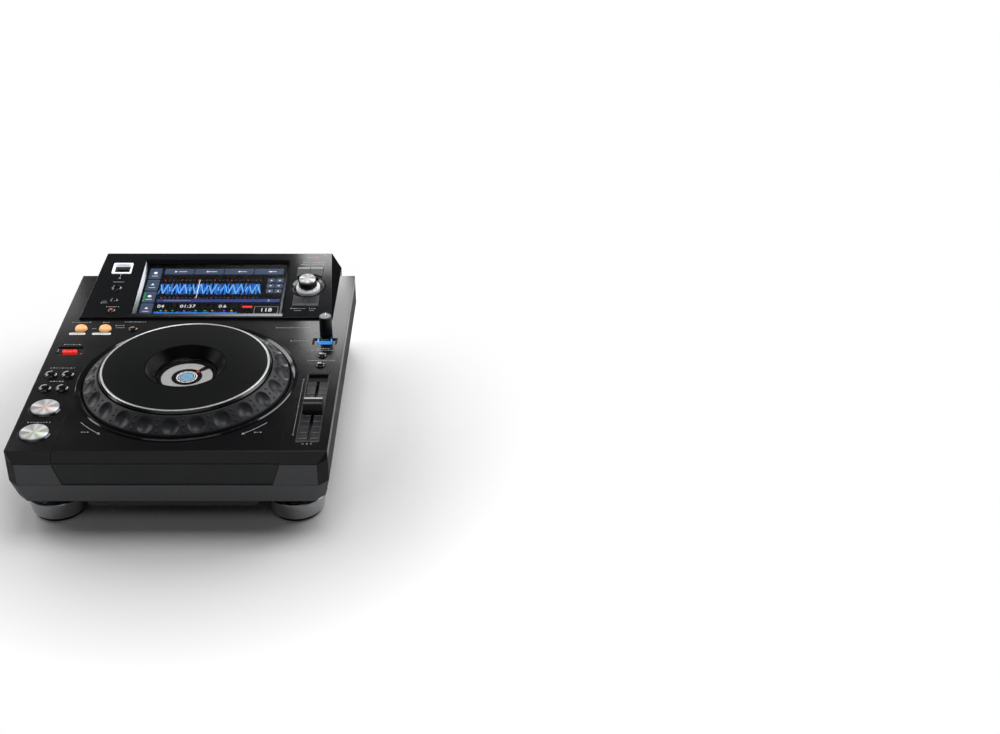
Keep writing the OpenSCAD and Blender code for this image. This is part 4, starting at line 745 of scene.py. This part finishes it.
def waveMarks(start, end, mid, half, count, low, high, seed, width=0.8, lean=0):  # bars of scattered heights
    pitch = (end - start) / count
    marks = []
    for i in range(count):
        tall = 2 * half * (low + (high - low) * chance(i + seed))
        turn = lean if i % 2 else -lean
        marks.append(("tile", start + (i + 0.5) * pitch, mid, pitch * width, tall, 0, turn))
    return marks


def addScreenTiles():
    look = screenPicture
    left = look["left"]
    tabs, side, small = look["tabs"], look["side"], look["small"]
    tabSpots = [(left + tabs["first"] + i * tabs["pitch"], tabs["s"]) for i in range(tabs["count"])]
    sideSpots = [(side["x"], side["first"] - i * side["pitch"]) for i in range(side["count"])]
    across, down = small["pitch"]
    smallSpots = [(small["x"] + across * (i % 2), small["s"] - down * (i // 2))
                  for i in range(small["count"])]
    groups = ((tabs, tabSpots), (side, sideSpots), (small, smallSpots))
    tiles = [("tile", x, s, *group["size"], group["corner"]) for group, found in groups for x, s in found]
    screenLayer("screenTiles", 1, tiles, "tileSlate")
    shine = look["shine"]
    edges = [("tile", x, s + group["size"][1] / 2 - shine["inset"], group["size"][0] - shine["shorter"],
              shine["thick"]) for group, found in groups[:2] for x, s in found]
    screenLayer("screenTileEdges", 2, edges, "tileEdge")
    bar, right = look["bar"], look["right"]
    strip = ("tile", (left + right) / 2, bar["s"], right - left, bar["thick"])
    screenLayer("screenBar", 1, [strip], "barNavy")
    sign, dash, sideDash, way = look["sideSign"], look["tabDash"], look["sideDash"], look["tabArrow"]
    symbols = [("arrow", x + way["from"] + way["step"] * i, s, way["radius"], 90 * i)
               for i, (x, s) in enumerate(tabSpots)]
    symbols += [("tile", x + dash[0], s, dash[1], dash[2]) for x, s in tabSpots]
    symbols += [("disc", x, s + sign["lift"], sign["disc"]) for x, s in sideSpots[::2]]
    symbols += [("arrow", x, s + sign["lift"], sign["arrow"], 90) for x, s in sideSpots[1::2]]
    symbols += [("tile", x, s + sideDash[0], sideDash[1], sideDash[2]) for x, s in sideSpots]
    symbols += [("arrow", x, s, look["smallArrow"], 180 * (i % 2)) for i, (x, s) in enumerate(smallSpots)]
    screenLayer("screenSymbols", 3, symbols, "inkWhite")


def addScreenWave():
    look = screenPicture
    left, wave, beats = look["left"], look["wave"], look["beats"]
    mid, end = wave["mid"], wave["end"]
    for level, (name, numbers) in enumerate(waveLayers.items(), 1):
        screenLayer(name, level, waveMarks(left, end, mid, wave["half"], *numbers), waveInks[name])
    line = look["playLine"]
    playLine = ("tile", left + (end - left) * line["share"], mid, *line["size"])
    screenLayer("screenPlayLine", 4, [playLine], "inkWhite")
    beatSpots = [left + beats["first"] + i * beats["pitch"] for i in range(beats["count"])]
    rows = (mid - beats["reach"], mid + beats["reach"])
    weak = [x for i, x in enumerate(beatSpots) if i % beats["every"]]
    screenLayer("screenBeats", 1, [("tile", x, s, *beats["tick"]) for x in weak for s in rows], "inkGrey")
    reds = [("tile", x, s, *beats["strong"]) for x in beatSpots[::beats["every"]] for s in rows]
    cues = look["cues"]
    reds += [("arrow", left + cues["first"] + cues["pitch"] * i, cues["s"], cues["radius"], 90)
             for i in range(cues["count"])]
    screenLayer("screenReds", 2, reds, "pointRed")


def addScreenOverview():
    look = screenPicture
    left, over, point, bar, box = look["left"], look["overview"], look["point"], look["bar"], look["box"]
    bars = waveMarks(left, over["end"], over["mid"], over["half"], over["bars"], *over["heights"],
                     over["seed"])
    screenLayer("screenOverview", 1, bars, "waveBlue")
    for name, shares in overviewPoints.items():
        marks = [("tile", left + (over["end"] - left) * share, over["mid"] + point["lift"], *point["size"])
                 for share in shares]
        screenLayer("screenPoints" + name, 2, marks, "point" + name)
    screenLayer("screenNumbers", 3, [("numerals", *number) for number in look["numbers"]], "inkWhite")
    wide, tall = box["size"]
    moreWide, moreTall = box["overlap"]
    lines = [("tile", box["x"], box["s"] + end * tall / 2, wide + moreWide, box["thick"]) for end in (-1, 1)]
    lines += [("tile", box["x"] + end * wide / 2, box["s"], box["thick"], tall + moreTall) for end in (-1, 1)]
    start, length, thick = bar["line"]
    screenLayer("screenBox", 2, lines + [("tile", left + start, bar["s"], length, thick)], "inkGrey")
    screenLayer("screenTag", 2, [("tile", *look["tag"])], "tagRed")
    screenLayer("screenLevel", 2, [("tile", *look["level"])], "barGreen")
    print("screen picture drawn")


# Picture of the round display in the wheel

dialPicture = {"ground": 2.79, "middle": 3.09, "height": 0.03, "ringIn": 15.5, "ringOut": 25.8,
               "ringSteps": 72, "gapAt": 46, "gapTurn": 8, "ticks": 12, "tickIn": 9.3, "tickOut": 10.6,
               "tickGap": 2, "tickSteps": 6, "pointerAt": 14.2, "pointer": (3.6, 1.8),
               "pointerHeight": 0.05, "innerIn": 7.5, "innerOut": 8.2, "innerTurn": 359.5,
               "innerSteps": 60, "discOut": 6.6, "discSides": 48, "bar": (6.4, 0.6), "barPitch": 1.4,
               "barLift": 0.02}


def dialPiece(name, marks, ink, lift, height=dialPicture["height"]):
    piece = startPiece(name)
    draw(marks)
    spot = middle("jog_rim")
    closePiece(piece, height, (spot.x, spot.y, deckZ + lift * mm))
    dress(piece, ink, slot="dial")


def addDialPicture():
    look = dialPicture
    gapAt, gapTurn, low, top = look["gapAt"], look["gapTurn"], look["ground"], look["middle"]
    sweep = 360 - 2 * gapTurn
    ring = [("band", 0, 0, look["ringIn"], look["ringOut"], gapAt + gapTurn, sweep, look["ringSteps"])]
    dialPiece("dialRing", ring, "dialGrey", low)
    turn, gap = 360 / look["ticks"], look["tickGap"]
    ticks = [("band", 0, 0, look["tickIn"], look["tickOut"], i * turn + gap, turn - 2 * gap,
              look["tickSteps"]) for i in range(look["ticks"])]
    dialPiece("dialTicks", ticks, "inkWhite", low)
    angle, reach = math.radians(gapAt), look["pointerAt"]
    pointer = [("tile", reach * math.cos(angle), reach * math.sin(angle), *look["pointer"], 0, gapAt)]
    dialPiece("dialPointer", pointer, "pointRed", low, look["pointerHeight"])
    inner = [("band", 0, 0, look["innerIn"], look["innerOut"], 0, look["innerTurn"], look["innerSteps"])]
    dialPiece("dialInner", inner, "inkWhite", top)
    dialPiece("dialDisc", [("disc", 0, 0, look["discOut"], look["discSides"])], "dialBlue", top)
    bars = [("tile", 0, i * look["barPitch"], *look["bar"]) for i in (1, 0, -1)]
    dialPiece("dialBars", bars, "inkGrey", top + look["barLift"])
    print("dial picture drawn")


# Printed signs in place of labels: > and < arrows, | bar, - dash, o dot, + cross

signSizes = {">": (1.25, 0), "<": (1.25, 180), "|": (0.55, 2.0), "-": (2.4, 0.55), "o": (0.75,)}
signShapes = {">": "arrow", "<": "arrow", "|": "tile", "-": "tile", "o": "disc"}
crossSize = {"long": 2.2, "thick": 0.5}


def symbolRow(x, y, signs, pitch):
    marks = []
    for i, sign in enumerate(signs):
        at = x + (i - (len(signs) - 1) / 2) * pitch
        if sign == "+":
            long, thick = crossSize["long"], crossSize["thick"]
            marks += [("tile", at, y, long, thick), ("tile", at, y, thick, long)]
        else:
            marks.append((signShapes[sign], at, y, *signSizes[sign]))
    return marks


def besideControls(rows):  # marks that are placed from the middle of a control
    return [(kind, spots[name][0] + x, spots[name][1] + y, *rest) for kind, name, x, y, *rest in rows]


def labelRows(rows):  # rows of signs that are placed from the middle of a control
    found = [(spots[name][0] + x, spots[name][1] + y, signs, pitch) for name, x, y, signs, pitch in rows]
    return [mark for row in found for mark in symbolRow(*row)]


# Printed marks on the deck

deckPrint = {
    "labels": (("track", 8.6, 14.6, "|<--o-->|", 3.0), ("search", 8.6, 14.8, "<<->>", 2.9),
               ("play", 0, 19.3, ">--o--||", 3.0), ("lever", -0.6, 12.8, "<--o->", 3.1),
               ("loopIn", -2.8, 14.1, "|----->", 3.1), ("loopOut", -1.5, 14.1, "<-|", 2.8),
               ("reloop", -0.4, 16.0, "|-<-o->-|", 2.7), ("reloop", -15.4, 8.3, "o--o", 2.7),
               ("speed", -36.9, 12.6, "o----o----->", 3.1), ("mode", -27.4, 1.0, "o--o--", 3.2),
               ("range", -0.1, 14.6, "--o--", 2.7), ("range", -0.5, 11.0, "|-o-|-o-|", 2.8),
               ("master", -0.4, 9.9, "|---o--o--|", 2.7), ("fader", 0.2, -65.5, "-o+", 4.0)),
    "dashes": (("tile", "loopIn", 13.35, 1.0, 4.8, 0.5), ("tile", "reloop", -14.2, 3.8, 10, 0.5)),
    "scalesAndSlotHighlight": (("tile", "tray", -14.6, 0, 0.45, 97), ("disc", "tray", -14.7, -50.0, 0.9),
               ("disc", "tray", -14.6, 0, 0.9), ("tile", "tray", -14.5, 50.4, 2.6, 0.8),
               ("tile", "speed", -11.5, 1.8, 0.7, 2.6, 0, 40), ("tile", "speed", 11.3, 1.8, 0.7, 2.6, 0, -40),
               ("tile", "speed", -10.5, 23.9, 6.5, 0.5), ("tile", "speed", 10.5, 23.9, 6.5, 0.5),
               # the pale bar at the left end of the lever slot is a painted highlight of the slot's end edge,
               # not print
               ("tile", "lever", -12.6, 1.0, 0.9, 6.0)),
    "pills": (("tile", "loopIn", -2.1, -10.0, 17.2, 4.2, 1.6),
              ("tile", "loopOut", -1.9, -10.0, 20.0, 4.2, 1.6)),
    "pillSigns": (("loopIn", -2.1, -10.0, "--o--", 2.8), ("loopOut", -1.9, -10.0, "--o---", 2.8)),
    "signLift": 0.04, "signHeight": 0.05, "lamp": (("disc", "lever", 12.4, -5.5, 0.7),),
}


def addDeckPrint():
    look = deckPrint
    deckPiece("deckPrint", labelRows(look["labels"]) + besideControls(look["dashes"]), "printPale")
    deckPiece("deckScalesAndSlotHighlight", besideControls(look["scalesAndSlotHighlight"]), "printDim")
    deckPiece("deckPills", besideControls(look["pills"]), "printWhite")
    deckPiece("pillSigns", labelRows(look["pillSigns"]), "inlayBlack", look["signLift"], look["signHeight"],
              slot="black_gloss")
    deckPiece("leverLamp", besideControls(look["lamp"]), "ledRed", slot="red_lit")
    print("deck printed")


# The two arcs in front of the wheel lie on the part of the deck that falls to the front

turnArcs = {"radius": 119.4, "from": 220.8, "turn": 13.6, "thick": 0.6, "steps": 10, "tip": 2.0,
            "fallStart": 70.0, "fallDrop": 0.8, "sink": 0.03, "height": 0.09,
            "signs": ((-83.2, -37.5, "<-o", 2.8), (83.3, -37.8, "o->", 2.8))}


def addTurnArcs():
    look = turnArcs
    piece = startPiece("turnArcs")
    radius, edge, fallStart = look["radius"], look["thick"] / 2, look["fallStart"]
    centreY = spots["jog"][1] - fallStart
    for side in (-1, 1):
        tip = 270 + side * (270 - look["from"] - look["turn"])
        start = look["from"] if side < 0 else tip
        band(0, centreY, radius - edge, radius + edge, start, look["turn"], look["steps"])
        angle = math.radians(tip)
        arrow(radius * math.cos(angle), centreY + radius * math.sin(angle), look["tip"], tip - side * 90)
    for row in look["signs"]:
        draw(symbolRow(*row))
    place = (0, deckEdgeY + fallStart * mm, deckZ - look["sink"] * mm)
    closePiece(piece, look["height"], place, math.atan2(look["fallDrop"], fallStart))
    dress(piece, "printPale")
    print("turn arcs printed")


# Printed marks on the tilted panel, with their place across it and up its slope

panelPrint = {
    "labels": ((-105.0, 63.5, "--o--", 2.5), (-114.4, 28.7, "--", 2.8), (-114.4, 25.7, "o--", 2.6),
               (-103.5, 18.7, "|--o-|", 2.6), (102.6, 109.0, "---", 2.7), (97.9, 100.0, "o-", 2.8),
               (113.1, 100.0, "|-o-|", 2.8), (97.3, 96.2, "---", 2.7), (113.0, 96.2, "-----", 2.7),
               (97.5, 15.7, "<--|--", 2.8), (113.1, 15.7, "|--", 2.8), (97.6, 12.0, "---", 2.7),
               (113.0, 12.0, "--", 2.8)),
    "ejectSign": (("arrow", -105.0, 71.6, 1.5, 90), ("tile", -105.0, 69.8, 2.6, 0.6),
                  ("tile", -105.0, 76.6, 0.6, 3.2)),
    "powerSign": (("band", 119.7, 113.4, 1.2, 1.7, 120, 300, 16), ("tile", 119.7, 114.9, 0.5, 1.8)),
    "standbyLamp": (("disc", 110.4, 109.0, 1.2),), "lampHeight": 0.12, "lampEdge": 0.04,
    "dots": 12, "dotRing": 11.4, "dotRadius": 0.42, "dotSides": 10, "dotLift": 0.8, "dotHeight": 0.34,
}


def addPanelPrint():
    look = panelPrint
    marks = [mark for row in look["labels"] for mark in symbolRow(*row)]
    panelPiece("panelPrint", marks + list(look["ejectSign"] + look["powerSign"]), "printPale")
    panelPiece("standbyLamp", look["standbyLamp"], "ledRed", height=look["lampHeight"], edge=look["lampEdge"],
               slot="red_lit")
    pivot = jointSpot("selector_turn")
    x = pivot[0] / mm
    s = (pivot[1] - panel["frontY"]) / math.cos(panelTilt) / mm
    turns = [i * 2 * math.pi / look["dots"] for i in range(look["dots"])]
    dots = [("disc", x + look["dotRing"] * math.cos(a), s + look["dotRing"] * math.sin(a), look["dotRadius"],
             look["dotSides"]) for a in turns]
    panelPiece("skirtDots", dots, "inlayBlack", look["dotLift"], look["dotHeight"], slot="black_gloss")
    print("panel printed")


# Marks on the buttons and beside them, each placed from the middle of a control

pressMarks = {
    "cueMark": {
        "marks": (("disc", "cue", -3.3, 0, 1.15), ("tile", "cue", 0, 0, 1.5, 2.3),
                  ("disc", "cue", 3.3, 0, 1.15)),
        "finish": "cueOrange", "lift": 1.93, "height": 0.13, "body": "cue_button", "slot": "orange_lit"},
    "playMark": {
        "marks": (("arrow", "play", -3.0, 0, 1.9, 0), ("tile", "play", 2.3, 0, 1.2, 2.9),
                  ("tile", "play", 4.5, 0, 1.2, 2.9)),
        "finish": "playGreen", "lift": 1.93, "height": 0.13, "body": "play_button", "slot": "orange_lit"},
    "reloopLamp": {
        "marks": (("disc", "reloop", -0.2, 1.0, 1.7),), "finish": "ledAmber", "lift": 1.5, "height": 0.46,
        "edge": 0.12, "body": "reloop_button", "slot": "orange_lit"},
    "masterLamp": {
        "marks": (("disc", "master", -0.3, 1.3, 1.5),), "finish": "ledRed", "lift": 1.7, "height": 0.42,
        "edge": 0.12, "body": "master_tempo_button", "slot": "red_lit"},
}

settingMarks = {
    "modeTop": {
        "marks": (("tile", "mode", 0, 0.7, 12.6, 5.4, 0.5),), "finish": "inlayBlack", "lift": 1.26,
        "height": 0.1, "edge": 0.03, "body": "jog_mode_button", "slot": "black_gloss"},
    "modeSign": {
        "labels": (("mode", 0, 0.7, "o--", 2.9),), "finish": "modeCyan", "lift": 1.34, "height": 0.05,
        "body": "jog_mode_button", "slot": "blue_lit"},
    "faderLine": {
        "marks": (("tile", "fader", 0, 4.3, 18.3, 2.4),), "finish": "faderSilver", "lift": 6.2,
        "height": 0.86, "edge": 0.25, "body": "tempo_fader", "slot": "trim_silver"},
    "speedMark": {
        "marks": (("tile", "speed", 0, 3.7, 1.2, 4.6, 0.3),), "finish": "printWhite", "lift": 21.55,
        "height": 0.48, "body": "speed_knob"},
}

tickRows = {"count": 5, "pitch": 10, "aside": 6.0, "size": (8.2, 0.5)}

fixedMarks = {
    # a raised dull black U-frame round the back and sides of the jog mode button: painted shade standing in
    # for the dark gap of its recess
    "modeRecessShade": {
        "marks": (("tile", "mode", 0, 5.6, 25.6, 1.7), ("tile", "mode", -11.9, -0.4, 1.7, 11.8),
                  ("tile", "mode", 11.9, -0.4, 1.7, 11.8)),
        "finish": "inlayBlack", "lift": -1.02, "height": 1.3, "slot": "black_gloss"},
    "trayTicks": {
        "marks": [("tile", "tray", side * tickRows["aside"], i * tickRows["pitch"], *tickRows["size"])
                  for i in range(-tickRows["count"], tickRows["count"] + 1) for side in (-1, 1)],
        "finish": "printDim", "lift": -4.22, "height": 0.05},
}

quantizeLamp = {"s": 12.3, "radius": 1.4, "lift": 1.3, "height": 0.5, "edge": 0.12}

leverMark = {"turn": 9, "reach": 11.17, "height": 0.12,
             "marks": (("tile", 0, 0.9, 8.0, 0.7), ("tile", -3.2, -0.4, 0.9, 1.4),
                       ("tile", 3.2, -0.4, 0.9, 1.4))}


def addMarks(table):
    for name, look in table.items():
        settings = {key: value for key, value in look.items() if key not in ("marks", "labels")}
        marks = besideControls(look.get("marks", ())) + labelRows(look.get("labels", ()))
        deckPiece(name, marks, **settings)
    print("marks placed:", len(table))


def addQuantizeLamp():
    look = quantizeLamp
    dot = ("disc", middle("quantize_button").x / mm, look["s"], look["radius"])
    panelPiece("quantizeLamp", [dot], "ledRed", look["lift"], look["height"], look["edge"],
               body="quantize_button", slot="red_lit")
    print("quantize lamp placed")


def addLeverMark():  # on the face of the tipped lever, which stands off its pin
    look = leverMark
    piece = startPiece("leverMark")
    draw(look["marks"])
    turn, reach = math.radians(look["turn"]), look["reach"] * mm
    x, y, z = leverPin
    closePiece(piece, look["height"], (x, y - reach * math.sin(turn), z + reach * math.cos(turn)), turn)
    dress(piece, "leverDark", "direction_lever", "red_lit")
    print("lever mark placed")


bpy.context.scene.view_settings.view_transform = "Standard"
addCamera()
addStudio()
finishes = paintNodes()
addScreenTiles()
addScreenWave()
addScreenOverview()
addDialPicture()
addDeckPrint()
addTurnArcs()
addPanelPrint()
addMarks(pressMarks)
addQuantizeLamp()
addMarks(settingMarks)
addLeverMark()
addMarks(fixedMarks)
